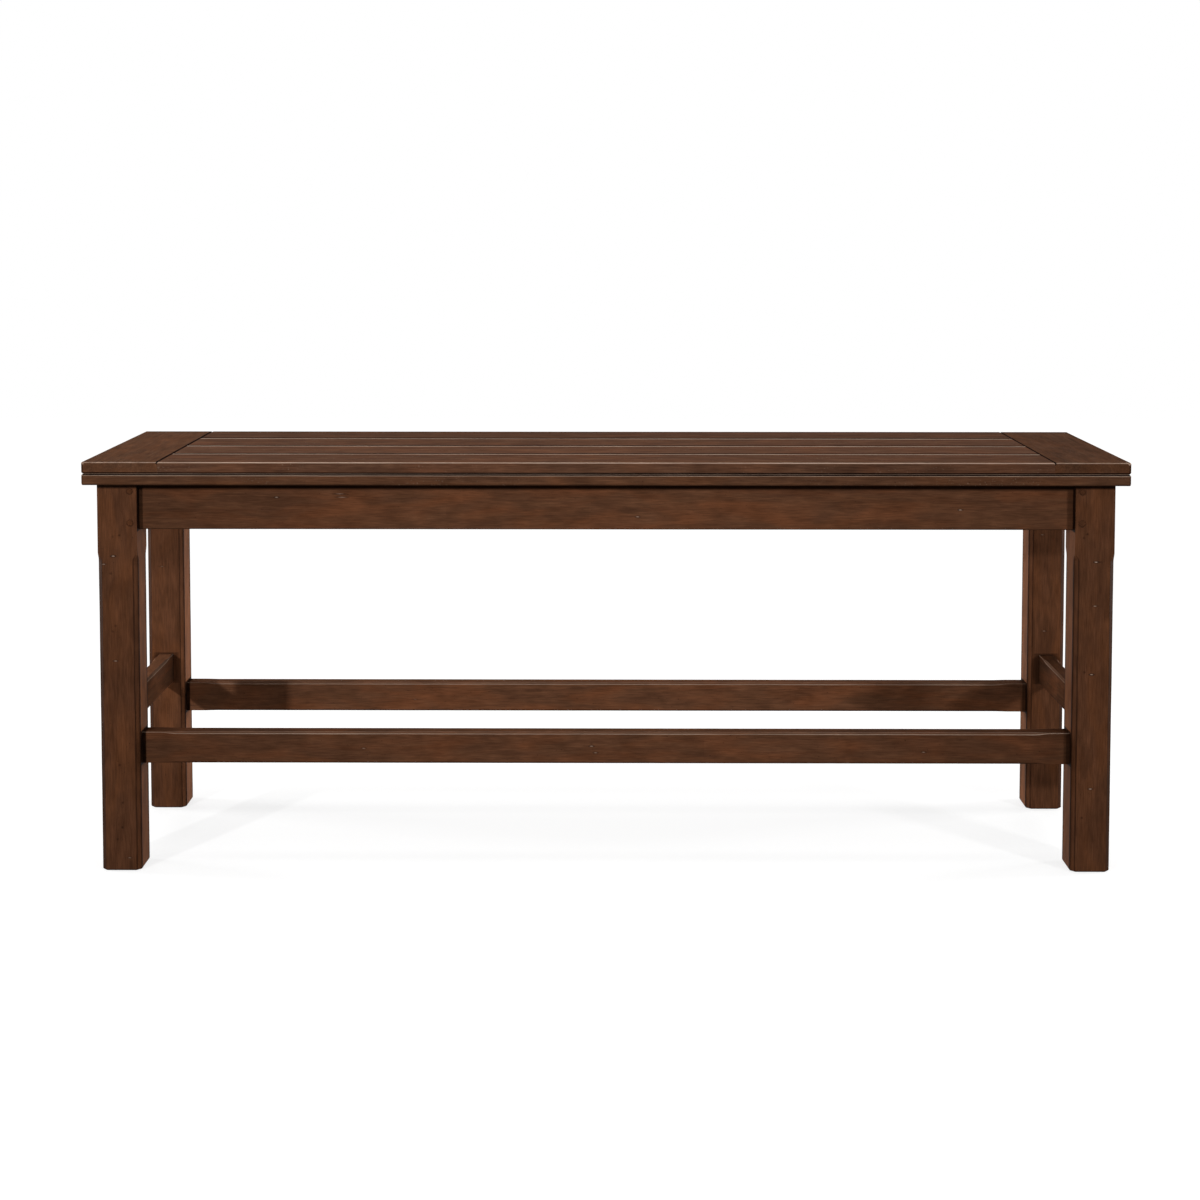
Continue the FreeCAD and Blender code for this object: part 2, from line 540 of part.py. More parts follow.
def cross_rail(label, side):
    """Rail from apron to apron, raised between the edge strips to bear on the planks."""
    body = new_body(label, (f"{side} * {RAIL_X}", "0", LEG_TOP))
    lower = rectangle(body, "lower_outline", "YZ_Plane", f"2 * ({APRON_BACK_Y} + Sizes.rail_housing)",
                      "Sizes.rail_height", ("0", "-Sizes.rail_height / 2", "0"))
    pad(body, "lower_rail", lower, "Sizes.rail_thickness", symmetric=True)
    upper = rectangle(body, "upper_outline", "YZ_Plane",
                      "Sizes.seat_depth - 2 * Sizes.strip_width - 2 * Sizes.joint_clearance",
                      "Sizes.strip_thickness", ("0", "Sizes.strip_thickness / 2", "0"))
    pad(body, "upper_rail", upper, "Sizes.rail_thickness", symmetric=True)
    return body


def peg(label, side, end, rise):
    """Round peg through an apron's tenon, driven home with its eased end just proud of the leg."""
    place = (f"{side} * ({LONG_SPAN} / 2 + Sizes.peg_inset)",
             f"{end} * ({LEG_Y} + {LEG_FACE} + Sizes.peg_proud - Sizes.peg_length)",
             f"{APRON_MIDDLE} + {rise} * {PEG_RISE}")
    body = new_body(label, place, pointing(0, end, 0))
    radius = "Sizes.peg_diameter / 2"
    spin(body, "peg", [("0", "0"), (radius, "0"), (radius, "Sizes.peg_length - Sizes.peg_ease"),
                       (f"{radius} - Sizes.peg_ease", "Sizes.peg_length"), ("0", "Sizes.peg_length")])
    return body


def seat_screw(label, side, end):
    """Wood screw up through a brace, its point in the end strip and its head below."""
    place = (f"{side} * ({APRON_BACK_X} - {BLOCK_CENTRE})", f"{end} * ({APRON_BACK_Y} - {BLOCK_CENTRE})",
             f"{LEG_TOP} + Sizes.screw_bite")
    body = new_body(label, place, pointing(0, 0, -1))
    shank = "Sizes.screw_diameter / 2"
    head = "Sizes.screw_head_diameter / 2"
    neck = "(Sizes.screw_grip + Sizes.screw_bite)"
    top = f"({neck} + Sizes.screw_head_height)"
    spin(body, "screw", [("0", "0"), (shank, "Sizes.screw_tip"), (shank, neck), (head, neck), (head, top),
                         ("0", top)])
    return body


nodes = []
plank_count = int(sheet.plank_count)
plank_names = ["front", "front_middle", "rear_middle", "rear"]
if plank_count != len(plank_names):
    plank_names = [f"number_{index + 1}" for index in range(plank_count)]
sides = list(zip(BOTH_SIDES, ("left", "right")))
ends = list(zip(BOTH_SIDES, ("front", "rear")))
corner_turns = {(-1, -1): 0, (1, -1): 90, (1, 1): 180, (-1, 1): 270}

for index, plank_name in enumerate(plank_names):
    nodes.append(seat_plank(f"seat_plank_{plank_name}", index, plank_count))

for side, side_name in sides:
    nodes.append(seat_end(f"seat_end_{side_name}", side))
    nodes.append(end_edge_strip(f"edge_strip_{side_name}", side))
    nodes.append(side_apron(f"apron_{side_name}", side))
    nodes.append(side_stretcher(f"stretcher_{side_name}", side))
    nodes.append(cross_rail(f"cross_rail_{side_name}", side))

screws = []
for end, end_name in ends:
    nodes.append(long_edge_strip(f"edge_strip_{end_name}", end))
    nodes.append(long_apron(f"apron_{end_name}", end))
    nodes.append(long_stretcher(f"stretcher_{end_name}", end))
    pegs = []
    for side, side_name in sides:
        corner_name = f"{end_name}_{side_name}"
        nodes.append(leg(f"leg_{corner_name}", side, end))
        turn = corner_turns[side, end]
        nodes.append(corner_block(f"corner_block_{corner_name}", side, end, turn))
        screws.append(seat_screw(f"seat_screw_{corner_name}", side, end))
        for rise, rise_name in zip(BOTH_SIDES, ("lower", "upper")):
            pegs.append(peg(f"peg_{corner_name}_{rise_name}", side, end, rise))
    nodes.append(group(f"pegs_{end_name}", pegs))

nodes.append(group("seat_screws", screws))

doc.recompute()
for item in doc.Objects:
    if "Invalid" in item.State or "Error" in item.State:
        raise RuntimeError(f"{item.Label} did not build: {item.State}")
    if item.TypeId == "PartDesign::Pocket":
        removed = item.BaseFeature.Shape.Volume - item.Shape.Volume
        if removed < TOUCH:
            raise RuntimeError(f"{item.Label} cuts nothing")
for node in nodes:
    if node.Shape.isNull() or not node.Shape.isValid():
        raise RuntimeError(f"{node.Label} has no valid shape")

os.makedirs("parts", exist_ok=True)
for node in nodes:
    node.Shape.exportStep(f"parts/{node.Label}.step")
    print(node.Label, len(node.Shape.Solids), round(node.Shape.Volume))
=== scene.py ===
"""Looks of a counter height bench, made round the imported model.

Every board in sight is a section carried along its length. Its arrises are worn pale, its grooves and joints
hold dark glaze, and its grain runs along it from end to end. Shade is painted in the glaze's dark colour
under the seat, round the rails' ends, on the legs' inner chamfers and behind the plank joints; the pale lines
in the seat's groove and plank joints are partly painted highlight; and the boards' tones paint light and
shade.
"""

import math
from collections import namedtuple

import bpy
import numpy as np
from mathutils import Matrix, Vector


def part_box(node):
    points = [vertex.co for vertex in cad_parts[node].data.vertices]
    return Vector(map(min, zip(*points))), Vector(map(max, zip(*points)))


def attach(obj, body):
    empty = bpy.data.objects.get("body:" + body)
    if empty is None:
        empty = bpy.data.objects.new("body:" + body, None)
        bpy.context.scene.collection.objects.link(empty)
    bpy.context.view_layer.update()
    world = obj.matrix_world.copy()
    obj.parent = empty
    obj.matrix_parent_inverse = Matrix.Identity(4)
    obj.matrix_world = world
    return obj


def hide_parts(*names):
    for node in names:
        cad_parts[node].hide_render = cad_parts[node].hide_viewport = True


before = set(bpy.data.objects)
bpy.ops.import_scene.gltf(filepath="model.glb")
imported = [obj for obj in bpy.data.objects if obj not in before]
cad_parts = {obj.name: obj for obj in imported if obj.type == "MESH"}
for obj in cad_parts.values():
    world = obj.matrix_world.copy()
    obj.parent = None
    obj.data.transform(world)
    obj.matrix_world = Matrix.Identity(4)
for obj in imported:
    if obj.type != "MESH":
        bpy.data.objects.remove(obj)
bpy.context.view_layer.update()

MM = 0.001
ALONG_X, ALONG_Y, ALONG_Z = range(3)

# Edge sizes of the bench, in millimetres
SEAT_ROUND = 2.0
GROOVE_ABOVE = 1.9
GROOVE_BELOW = 2.7
SEAT_CORNER = 3.2
PLANK_VEE = 1.8
END_VEE = 1.5
LEG_EASE = 0.6
LEG_CHAMFER = 5.7
LEG_PLAIN_TOP = 100.0
LEG_RUN_OUT = 14.0
FOOT_ROUND = 3.0
APRON_ROUND = 1.6
STRETCHER_EASE = 0.8
STRETCHER_CHAMFER = 2.8
STRETCHER_PLAIN_END = 26.0
STRETCHER_RUN_OUT = 26.0
PLAIN_EASE = 0.8
LEAST_CUT = 0.3

# Hand-worked edges: the share by which a cut varies, the length of its longest wave in millimetres, and the
# lengths of its waves beside that one
UNEVEN_SHARE = 0.12
UNEVEN_LENGTH = 240.0
WAVE_STRETCHES = (1.0, 0.61, 0.37)

# Pegs on the legs, in millimetres
PEG_RADIUS = 4.5
PEG_RING_RADIUS = 4.8
PEG_RING_WIDTH = 0.6
PEG_RING_DEPTH = 0.6

# Glaze round a peg: its strength, and the share of it that is left above the peg
PEG_RING_GLAZE = 0.6
PEG_RING_ABOVE = 0.4

# Nicks and scratches, in millimetres: half lengths, half heights and depth
NICK_LENGTH = 2.6
NICK_HEIGHT = 1.0
NICK_DEPTH = 0.7
OLD_NICK_SIZE = 1.6
SCRATCH_LENGTH = 6.0
SCRATCH_HEIGHT = 0.8

# Fresh nicks, beside their half sizes: width of the bare wood, and place and width of the glazed rim
NICK_BARE = 0.7
NICK_RIM = 1.3
NICK_RIM_WIDTH = 0.45

# Reach of worn wood and painted highlight, and of dark glaze and painted shade, in millimetres
PLANK_RUB_AND_HIGHLIGHT = 4.8
PLANK_SHADE = 8.0
REAR_RIM_SHADE = 4.0
SEAT_SHADE = 10.5
ARRIS_SHADE = 1.0
INNER_SHADE = 3.0
LEG_TOP_SHADE = 8.0
APRON_END_SHADE = 1.4
STRETCHER_END_SHADE = 6.0
JOINT_SHADE = 2.5
LONG_RAIL_SHADE = 22.0
SIDE_RAIL_SHADE = 9.0

# Share of each reach over which wear, glaze and painted shade are full
FULL_SHARE = 0.7

# Strength of the painted shade where boards meet: under the seat on the legs' tops, the legs' shadow on
# the stretchers' ends, round the rails on the legs, and with dark glaze at the aprons' ends. A stretcher's
# first end is its left or front one.
LEG_TOP_SHADE_STRENGTH = 0.9
APRON_END_GLAZE_AND_SHADE = 0.9
STRETCHER_FIRST_SHADOW = 0.95
STRETCHER_LAST_SHADOW = 0.6
LONG_RAIL_SHADE_STRENGTH = 1.0
SIDE_RAIL_SHADE_STRENGTH = 0.5

# Farthest that a board's grain starts from the start of the pattern, in metres
GRAIN_SHIFT = (3.0, 0.4, 0.4)

# Tone of a board that is the same from end to end
EVEN_TONE = (1.0,)

# Fineness of the meshes, in millimetres or in lines, and the angle past which an edge is sharp
LONG_STEP = 16.0
CROSS_STEP = 12.0
RIM = 0.6
EASE_ROWS = 5
STOP_ROWS = 15
NICK_LINES = 9
PEG_RING_ROOM = 7.0
PEG_RING_LINES = 29
FINEST = 0.1
SHARP_ANGLE = math.radians(32)

# Wear and glaze at five places across a cut corner, from the side before it to the side after it, or over an
# eased end, from the side, where they start at 0, to the end. Some glaze patterns also paint shade, and some
# wear patterns also paint highlight, as noted where they stand.
CUT_STEPS = np.linspace(0, 1, 5)
NONE = (0, 0, 0, 0, 0)
FULL = (1, 1, 1, 1, 1)
WORN_ROUND = (0, 0.25, 1.0, 0.3, 0)
WORN_ROUND_BACK = WORN_ROUND[::-1]
FAINT_ROUND = (0.1, 0.4, 0.6, 0.4, 0.1)
# Pale lines in the seat's groove: worn bare wood and painted highlight
WEAR_AND_HIGHLIGHT_GROOVE = (0.85, 0.1, 0, 0, 0.65)
WEAR_AND_HIGHLIGHT_GROOVE_BACK = WEAR_AND_HIGHLIGHT_GROOVE[::-1]
WORN_CHAMFER = (0.25, 0.05, 0.05, 0.15, 0.65)
WORN_CHAMFER_BACK = WORN_CHAMFER[::-1]
FAINT_CHAMFER = (0.1, 0.05, 0.05, 0.1, 0.25)
FAINT_CHAMFER_BACK = FAINT_CHAMFER[::-1]
GLAZED_CUT = (0.5, 0.9, 1.0, 0.9, 0.6)
# On the legs' inner chamfers: dark glaze at the arrises and painted shade across the chamfer
GLAZE_AND_SHADE_INNER = (0.75, 0.3, 0.3, 0.5, 1.0)
GLAZE_AND_SHADE_INNER_BACK = GLAZE_AND_SHADE_INNER[::-1]
GLAZED_OUTER = (0.8, 0.8, 0.8, 0.8, 0.8)
GLAZED_CHAMFER = (0, 1.0, 1.0, 0.9, 0)
GLAZED_LOW = (0.2, 0.4, 0.5, 0.4, 0.2)
GLAZED_RIM = (0, 0, 0, 0, 0.55)
WORN_END = (0, 0.55, 0.8, 0.55, 0)
WEAR_AND_HIGHLIGHT_GROOVE_END = (0, 0.1, 0, 0, 0.65)
GLAZED_END = (0, 0.75, 1.0, 1.0, 1.0)
GLAZED_SEAT_CORNER = (0, 0.45, 0.6, 0.6, 0.6)
GLAZED_FAINT_END = (0, 0.3, 0.4, 0.4, 0.4)
# Painted shade under the seat, along the aprons' top edges
PAINTED_SHADE_UNDER_SEAT = (0.85, 0.85, 0.85, 0.85, 0.85)
# Dark glaze in a plank joint, with painted shade on the top of the plank behind it
GLAZE_AND_SHADE_VEE_BEFORE = (0.9, 1, 1, 1, 1)
GLAZED_VEE_BEHIND = (1, 0.9, 0.3, 0, 0)
# Pale line at a plank joint: worn bare wood and painted highlight on the front plank's rear arris and top
WEAR_AND_HIGHLIGHT_VEE_BEHIND = (0, 0, 0.3, 0.8, 1)

Arris = namedtuple("Arris", "cut bulge wear glaze rub shade", defaults=(0, NONE, NONE, (0, 0), (0, 0)))
Ease = namedtuple("Ease", "size bulge wear glaze", defaults=(0, 0, NONE, NONE))
Joint = namedtuple("Joint", "glaze reach", defaults=(0, 0))

# Sides of a section, round its loop: at the low end of the second axis across, the high end of the first, the
# high end of the second and the low end of the first. Each has its way round the loop and its way out.
SIDE_LEAVES = ((1, 0), (0, 1), (-1, 0), (0, -1))
SIDE_NORMALS = ((0, -1), (1, 0), (0, 1), (-1, 0))
PLAIN_END = (Ease(), Ease(), Ease(), Ease())

# Numbers of a leg's sides, and of the front of a rail along X
LEG_FRONT, LEG_RIGHT, LEG_REAR, LEG_LEFT = range(4)
RAIL_FRONT = 3

rng = np.random.default_rng(41)


def srgb(code):
    """Linear colour, with alpha, of an sRGB hex code."""
    parts = np.array([int(code[i:i + 2], 16) for i in (1, 3, 5)]) / 255
    linear = np.where(parts <= 0.04045, parts / 12.92, ((parts + 0.055) / 1.055) ** 2.4)
    return (*linear.tolist(), 1.0)


def wander(places, period):
    """Smooth uneven line from 0 to 1 along a board: the mean of three sine waves of up to one period."""
    total = np.zeros_like(places)
    for stretch in WAVE_STRETCHES:
        total += np.sin(places * 2 * math.pi / (period * stretch) + rng.uniform(0, 2 * math.pi))
    return 0.5 + total / (2 * len(WAVE_STRETCHES))


def gathered(low, high, step, spots):
    """Places from low to high: an even row, with closer rows about each spot (middle, reach, number)."""
    rows = [np.linspace(low, high, max(2, math.ceil((high - low) / step) + 1))]
    for middle, reach, number in spots:
        rows.append(np.linspace(middle - reach, middle + reach, number))
    places = np.concatenate(rows)
    places = places[(places > low + FINEST) & (places < high - FINEST)]
    places = np.unique(np.round(places / FINEST)) * FINEST
    return np.concatenate([[low], places, [high]])


def end_inset(distance, ease):
    """How far a side moves in near an end: a straight ramp for a chamfer, an arc for a round."""
    left = np.clip(ease.size - distance, 0, None)
    return ease.size - np.sqrt(ease.size ** 2 - left ** 2) if ease.bulge else left


def fading(distance, reach):
    """Share that is 1 over most of the reach and falls in a straight line to 0 over the rest of it."""
    return np.clip((1 - distance / max(reach, FINEST)) / (1 - FULL_SHARE), 0, 1)


class Nick:
    """Small dent: a bell curve of the distance, pressed in.

    A fresh one has bare wood inside and glaze round its rim, and an old one is full of glaze.
    """

    def __init__(self, face, along, across, half_along, half_across, strength, is_old=False):
        self.face = face
        self.place = (along, across)
        self.half = (half_along, half_across)
        self.strength = strength
        self.is_old = is_old
        self.lines_along = [(along, 2 * half_along, NICK_LINES)]
        self.lines_across = [(across, 2 * half_across, NICK_LINES)]

    def spread(self, along, across):
        """Depth, wear and glaze at places on the face."""
        far = np.hypot((along - self.place[0]) / self.half[0], (across - self.place[1]) / self.half[1])
        bell = np.exp(-far ** 2)
        if self.is_old:
            return NICK_DEPTH * bell, 0 * bell, self.strength * bell
        bare = self.strength * np.exp(-(far / NICK_BARE) ** 2)
        rim = self.strength * np.exp(-((far - NICK_RIM) / NICK_RIM_WIDTH) ** 2)
        return NICK_DEPTH * bell, bare, rim


class PegRing:
    """Narrow gap round a peg: a bell curve of the distance from a circle, with more glaze below the peg."""

    def __init__(self, face, along, across):
        self.face = face
        self.place = (along, across)
        self.lines_along = [(along, PEG_RING_ROOM, PEG_RING_LINES)]
        self.lines_across = [(across, PEG_RING_ROOM, PEG_RING_LINES)]

    def spread(self, along, across):
        """Depth, wear and glaze at places on the face."""
        radius = np.hypot(along - self.place[0], across - self.place[1])
        bell = np.exp(-((radius - PEG_RING_RADIUS) / PEG_RING_WIDTH) ** 2)
        below = 0.5 - 0.5 * (along - self.place[0]) / np.maximum(radius, FINEST)
        glaze = PEG_RING_GLAZE * bell * (PEG_RING_ABOVE + (1 - PEG_RING_ABOVE) * below)
        return PEG_RING_DEPTH * bell, 0 * bell, glaze


class JointShade:
    """Dark painted shade on a leg round the end of a rail: full on the rail's section, and fading beyond it.
    """

    def __init__(self, face, along, across, reach_across, strength):
        self.face = face
        self.spans = (along, across)
        self.reaches = (JOINT_SHADE, reach_across)
        self.strength = strength
        self.lines_along, self.lines_across = (
            [(edge + way * share * reach, 0, 1)
             for edge, way in zip(span, (-1, 1)) for share in (0, FULL_SHARE, 1)]
            for span, reach in zip(self.spans, self.reaches))

    def spread(self, along, across):
        """Depth, wear and glaze at places on the face."""
        glaze = np.full_like(along, self.strength)
        for places, span, reach in zip((along, across), self.spans, self.reaches):
            beyond = np.maximum(span[0] - places, places - span[1])
            glaze = glaze * fading(np.maximum(beyond, 0), reach)
        return 0 * glaze, 0 * glaze, glaze


class StoppedChamfer:
    """Size of a corner cut along a board: a chamfer that runs out smoothly, 3 s^2 - 2 s^3, to a small ease.

    Each stop is the place where the ease ends, with the way that leads into the chamfer, 1 or -1.
    """

    def __init__(self, ease, chamfer, run_out, stops):
        self.ease = ease
        self.chamfer = chamfer
        self.run_out = run_out
        self.stops = stops
        self.lines = [(place + way * run_out / 2, run_out / 2, STOP_ROWS) for place, way in stops]

    def share(self, places):
        """Share of the chamfer at places along the board: 0 where only the ease is left."""
        share = np.ones_like(places)
        for place, way in self.stops:
            share = np.minimum(share, np.clip(way * (places - place) / self.run_out, 0, 1))
        return share * share * (3 - 2 * share)


def stations(low, high, ends, stopped, details, joints):
    """Places along a board, closer at its ends, stops and details; each end counts twice, for its rim."""
    widest = max(RIM, *(ease.size for end in ends for ease in end))
    rows = [*widest * (1 - np.cos(np.linspace(0, math.pi / 2, EASE_ROWS)))]
    spots = [(place, 0, 1) for row in rows for place in (low + row, high - row)]
    for share in (FULL_SHARE, 1):
        spots += [(low + share * joints[0].reach, 0, 1), (high - share * joints[1].reach, 0, 1)]
    if stopped is not None:
        spots += stopped.lines
    for detail in details:
        spots += detail.lines_along
    places = gathered(low, high, LONG_STEP, spots)
    return np.concatenate([places[:1], places, places[-1:]])


def cut_columns(arris, cut, chamfered, corner, side):
    """Columns across one cut corner: a chamfer (t, 1 - t) or an arc (1 - cos, 1 - sin) of the cut's size."""
    leave = SIDE_LEAVES[side]
    arrive = SIDE_LEAVES[side - 1]
    turn = CUT_STEPS * math.pi / 2
    out = (1 - np.cos(turn)) if arris.bulge else CUT_STEPS
    home = (1 - np.sin(turn)) if arris.bulge else 1 - CUT_STEPS
    points = [corner[axis][:, None] + cut[:, None] * (leave[axis] * out - arrive[axis] * home)
              for axis in (0, 1)]
    evenly = np.ones((len(cut), 1))
    return *points, evenly * arris.wear, chamfered[:, None] * arris.glaze, np.full(len(CUT_STEPS), -1)


def side_columns(side, corners, cuts, chamfered, arrises, end_shares, details):
    """Columns across one flat side, between two cuts; wear and glaze fade in from the cuts and the ends."""
    leave = SIDE_LEAVES[side]
    axis = side % 2
    after = (side + 1) % 4
    before_arris, after_arris = arrises[side], arrises[after]
    corner = corners[side]
    length = np.abs(corners[after][axis] - corner[axis])
    longest = length.max()
    origin = corner[axis].min() if leave[axis] > 0 else corner[axis].max()
    spots = [(abs(middle - origin), reach, number) for detail in details if detail.face == side
             for middle, reach, number in detail.lines_across]
    for share in (FULL_SHARE, 1):
        for reach in (before_arris.rub[1], before_arris.shade[1]):
            spots.append((before_arris.cut + share * reach, 0, 1))
        for reach in (after_arris.rub[0], after_arris.shade[0]):
            spots.append((longest - after_arris.cut - share * reach, 0, 1))
    nominal = (before_arris.cut + RIM, longest - after_arris.cut - RIM)
    shares = (gathered(*nominal, CROSS_STEP, spots) - nominal[0]) / (nominal[1] - nominal[0])
    begin = cuts[side] + RIM
    reach = length - cuts[after] - RIM - begin
    steps = begin[:, None] + reach[:, None] * shares
    points = [corner[part][:, None] + leave[part] * steps for part in (0, 1)]
    past_cut = steps - cuts[side][:, None]
    to_cut = length[:, None] - cuts[after][:, None] - steps
    wear = np.maximum(before_arris.wear[-1] * fading(past_cut, before_arris.rub[1]),
                      after_arris.wear[0] * fading(to_cut, after_arris.rub[0]))
    glaze = chamfered[:, None] * np.maximum(before_arris.glaze[-1] * fading(past_cut, before_arris.shade[1]),
                                            after_arris.glaze[0] * fading(to_cut, after_arris.shade[0]))
    for ease, into in end_shares:
        wear = np.maximum(wear, np.interp(into, CUT_STEPS, ease.wear)[:, None])
        glaze = np.maximum(glaze, np.interp(into, CUT_STEPS, ease.glaze)[:, None])
    return *points, wear, glaze, np.full(len(shares), side)


def carried_board(name, along, box, arrises, ends=(PLAIN_END, PLAIN_END), stopped=None, details=(),
                  joints=(Joint(), Joint()), tones=EVEN_TONE):
    """Mesh of a section carried along one axis, all sizes in millimetres.

    The section is a rectangle with cut corners. At each station its four sides move in by the ease of the
    nearer end, and its cuts have the size that the stops give them, less what a chamfered end takes, so that
    the two meet in a mitre. Details then press in the sides that they lie on. Wear and glaze are highest on
    the cuts and joints, and fade over the sides; the glaze also holds painted shade, and the wear some
    painted highlight. The tones, one row for the board or one for each side, are spaced evenly along it, with
    straight ramps between them, and where given they paint light and shade along the board and on some of its
    sides.
    """
    low, high = box
    across = ((along + 1) % 3, (along + 2) % 3)
    u = stations(low[along], high[along], ends, stopped, details, joints)
    from_ends = (u - low[along], high[along] - u)
    border = np.zeros_like(u)
    border[[0, -1]] = RIM
    insets = [border + sum(end_inset(distance, end[side]) for distance, end in zip(from_ends, ends))
              for side in range(4)]
    first = (low[across[0]] + insets[3], high[across[0]] - insets[1])
    second = (low[across[1]] + insets[0], high[across[1]] - insets[2])
    corners = ((first[0], second[0]), (first[1], second[0]), (first[1], second[1]), (first[0], second[1]))
    chamfered = np.ones_like(u) if stopped is None else stopped.share(u)
    cuts = []
    for corner, arris in enumerate(arrises):
        size = arris.cut
        if stopped is not None:
            size = stopped.ease + (stopped.chamfer - stopped.ease) * chamfered
        mitre = sum(end_inset(distance, end[side]) for distance, end in zip(from_ends, ends)
                    for side in (corner - 1, corner) if not end[side].bulge)
        cuts.append(np.maximum(size * (1 + UNEVEN_SHARE * wander(u, UNEVEN_LENGTH)) - mitre, LEAST_CUT))

    columns = []
    for side, arris in enumerate(arrises):
        end_shares = [(end[side], np.clip(1 - distance / max(end[side].size, FINEST), 0, 1))
                      for distance, end in zip(from_ends, ends)]
        columns.append(cut_columns(arris, cuts[side], chamfered, corners[side], side))
        columns.append(side_columns(side, corners, cuts, chamfered, arrises, end_shares, details))
    v, w, wear, glaze = (np.concatenate([column[part] for column in columns], axis=1) for part in range(4))
    face_of = np.concatenate([column[4] for column in columns])
    u_grid = np.repeat(u[:, None], v.shape[1], axis=1)
    grain = np.stack([u_grid, v - low[across[0]], w - low[across[1]]], axis=-1) * MM

    for detail in details:
        on_face = face_of == detail.face
        depth, worn, glazed = detail.spread(u_grid, v if detail.face in (0, 2) else w)
        v = v - SIDE_NORMALS[detail.face][0] * depth * on_face
        w = w - SIDE_NORMALS[detail.face][1] * depth * on_face
        wear = np.maximum(wear, worn * on_face)
        glaze = np.maximum(glaze, glazed * on_face)
    for distance, joint in zip(from_ends, joints):
        glaze = np.maximum(glaze, joint.glaze * fading(distance, joint.reach)[:, None])
    wear[[0, -1]] = 0
    glaze[[0, -1]] = 0

    points = np.empty((*v.shape, 3))
    points[..., along] = u_grid
    points[..., across[0]] = v
    points[..., across[1]] = w
    grain = grain + rng.uniform((0, 0, 0), GRAIN_SHIFT)
    side_of = np.concatenate([np.full(len(column[4]), index // 2) for index, column in enumerate(columns)])
    side_tones = np.broadcast_to(tones, (4, np.shape(tones)[-1]))
    tone_places = np.linspace(low[along], high[along], side_tones.shape[1])
    tone = np.stack([np.interp(u, tone_places, row) for row in side_tones], axis=1)[:, side_of]
    return loop_mesh(name, points, {"grain": grain, "wear": wear, "glaze": glaze, "tone": tone})


def loop_mesh(name, points, layers):
    """Closed mesh from a grid of loops: quads between them, a flat face at each end, and values at points."""
    count, loop = points.shape[:2]
    number = np.arange(count * loop).reshape(count, loop)
    beside = np.roll(number, -1, axis=1)
    quads = np.stack([number[:-1], beside[:-1], beside[1:], number[1:]], axis=-1).reshape(-1, 4)
    faces = [*quads.tolist(), number[0, ::-1].tolist(), number[-1].tolist()]
    mesh = bpy.data.meshes.new(name)
    mesh.from_pydata((points.reshape(-1, 3) * MM).tolist(), [], faces)
    for title, values in layers.items():
        is_vector = values.ndim == 3
        layer = mesh.attributes.new(title, "FLOAT_VECTOR" if is_vector else "FLOAT", "POINT")
        layer.data.foreach_set("vector" if is_vector else "value", values.ravel())
    mesh.shade_smooth()
    mesh.set_sharp_from_angle(angle=SHARP_ANGLE)
    return mesh


def place_board(node, material, mesh):
    """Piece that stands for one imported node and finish."""
    mesh.materials.append(material)
    board = bpy.data.objects.new(node + "_board", mesh)
    bpy.context.scene.collection.objects.link(board)
    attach(board, "root")
    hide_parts(node)


def node_box(node):
    """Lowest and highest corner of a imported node, in millimetres."""
    return [np.array(corner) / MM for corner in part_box(node)]


def add_node(tree, kind, inputs=(), **settings):
    """One shader node with its settings; inputs maps a socket's name or number to a value or a link."""
    node = tree.nodes.new(kind)
    for setting, value in settings.items():
        setattr(node, setting, value)
    for socket, value in dict(inputs).items():
        if isinstance(value, bpy.types.NodeSocket):
            tree.links.new(value, node.inputs[socket])
        else:
            node.inputs[socket].default_value = value
    return node


# Patterns of the wood: length along the grain and width across it in millimetres, detail and distortion.
# Real fibres and pores are finer than a pixel of the picture, so both are drawn coarser than they are.
GRAIN_PATTERNS = (
    ("streaks", 90, 5, 3, 0.5),
    ("fibres", 22, 1.4, 3, 0.3),
    ("clouds", 110, 30, 2, 0.6),
    ("patches", 42, 17, 2, 0.4),
)
WEAR_PATTERNS = (
    ("rubbing", 150, 14, 3, 0.0),
    ("smudges", 30, 10, 2, 0.0),
    ("specks", 3.0, 2.0, 1, 0.0),
    ("speckled", 80, 25, 1, 0.0),
)

# Ramps over the patterns: the pattern, its values where the ramp starts and ends, and what it gives there
GRAIN_RAMPS = (
    ("streak_share", "streaks", 0.22, 0.78, 0.0, 1.0),
    ("red_share", "clouds", 0.42, 0.68, 0.0, 0.7),
    ("fibre_tone", "fibres", 0.3, 0.7, 0.79, 1.21),
    ("patch_tone", "patches", 0.3, 0.7, 0.82, 1.18),
)
WEAR_RAMPS = (
    ("smudged", "smudges", 0.25, 0.55, 0.85, 1.0),
    ("in_pores", "specks", 0.27, 0.2, 0.0, 0.6),
    ("rubbed", "rubbing", 0.3, 0.7, 0.5, 1.1),
    ("scuffed", "specks", 0.64, 0.76, 0.0, 1.0),
    ("where_scuffed", "speckled", 0.5, 0.65, 0.0, 1.0),
)

# Staves and relief of the wood, in millimetres
STAVE_LENGTH = 210
STAVE_WIDTH = 24
RELIEF_DEPTH = 0.3

# Strength of the relief, how far the roughness varies with the fibres, and colours of the glaze, which also
# paints shade, and of bare wood, which also paints highlight in the seat's groove and plank joints
RELIEF_STRENGTH = 0.2
ROUGHNESS_SPREAD = 0.1
GLAZE_AND_SHADE_COLOUR = "#140a06"
BARE_WOOD = "#b8a08e"


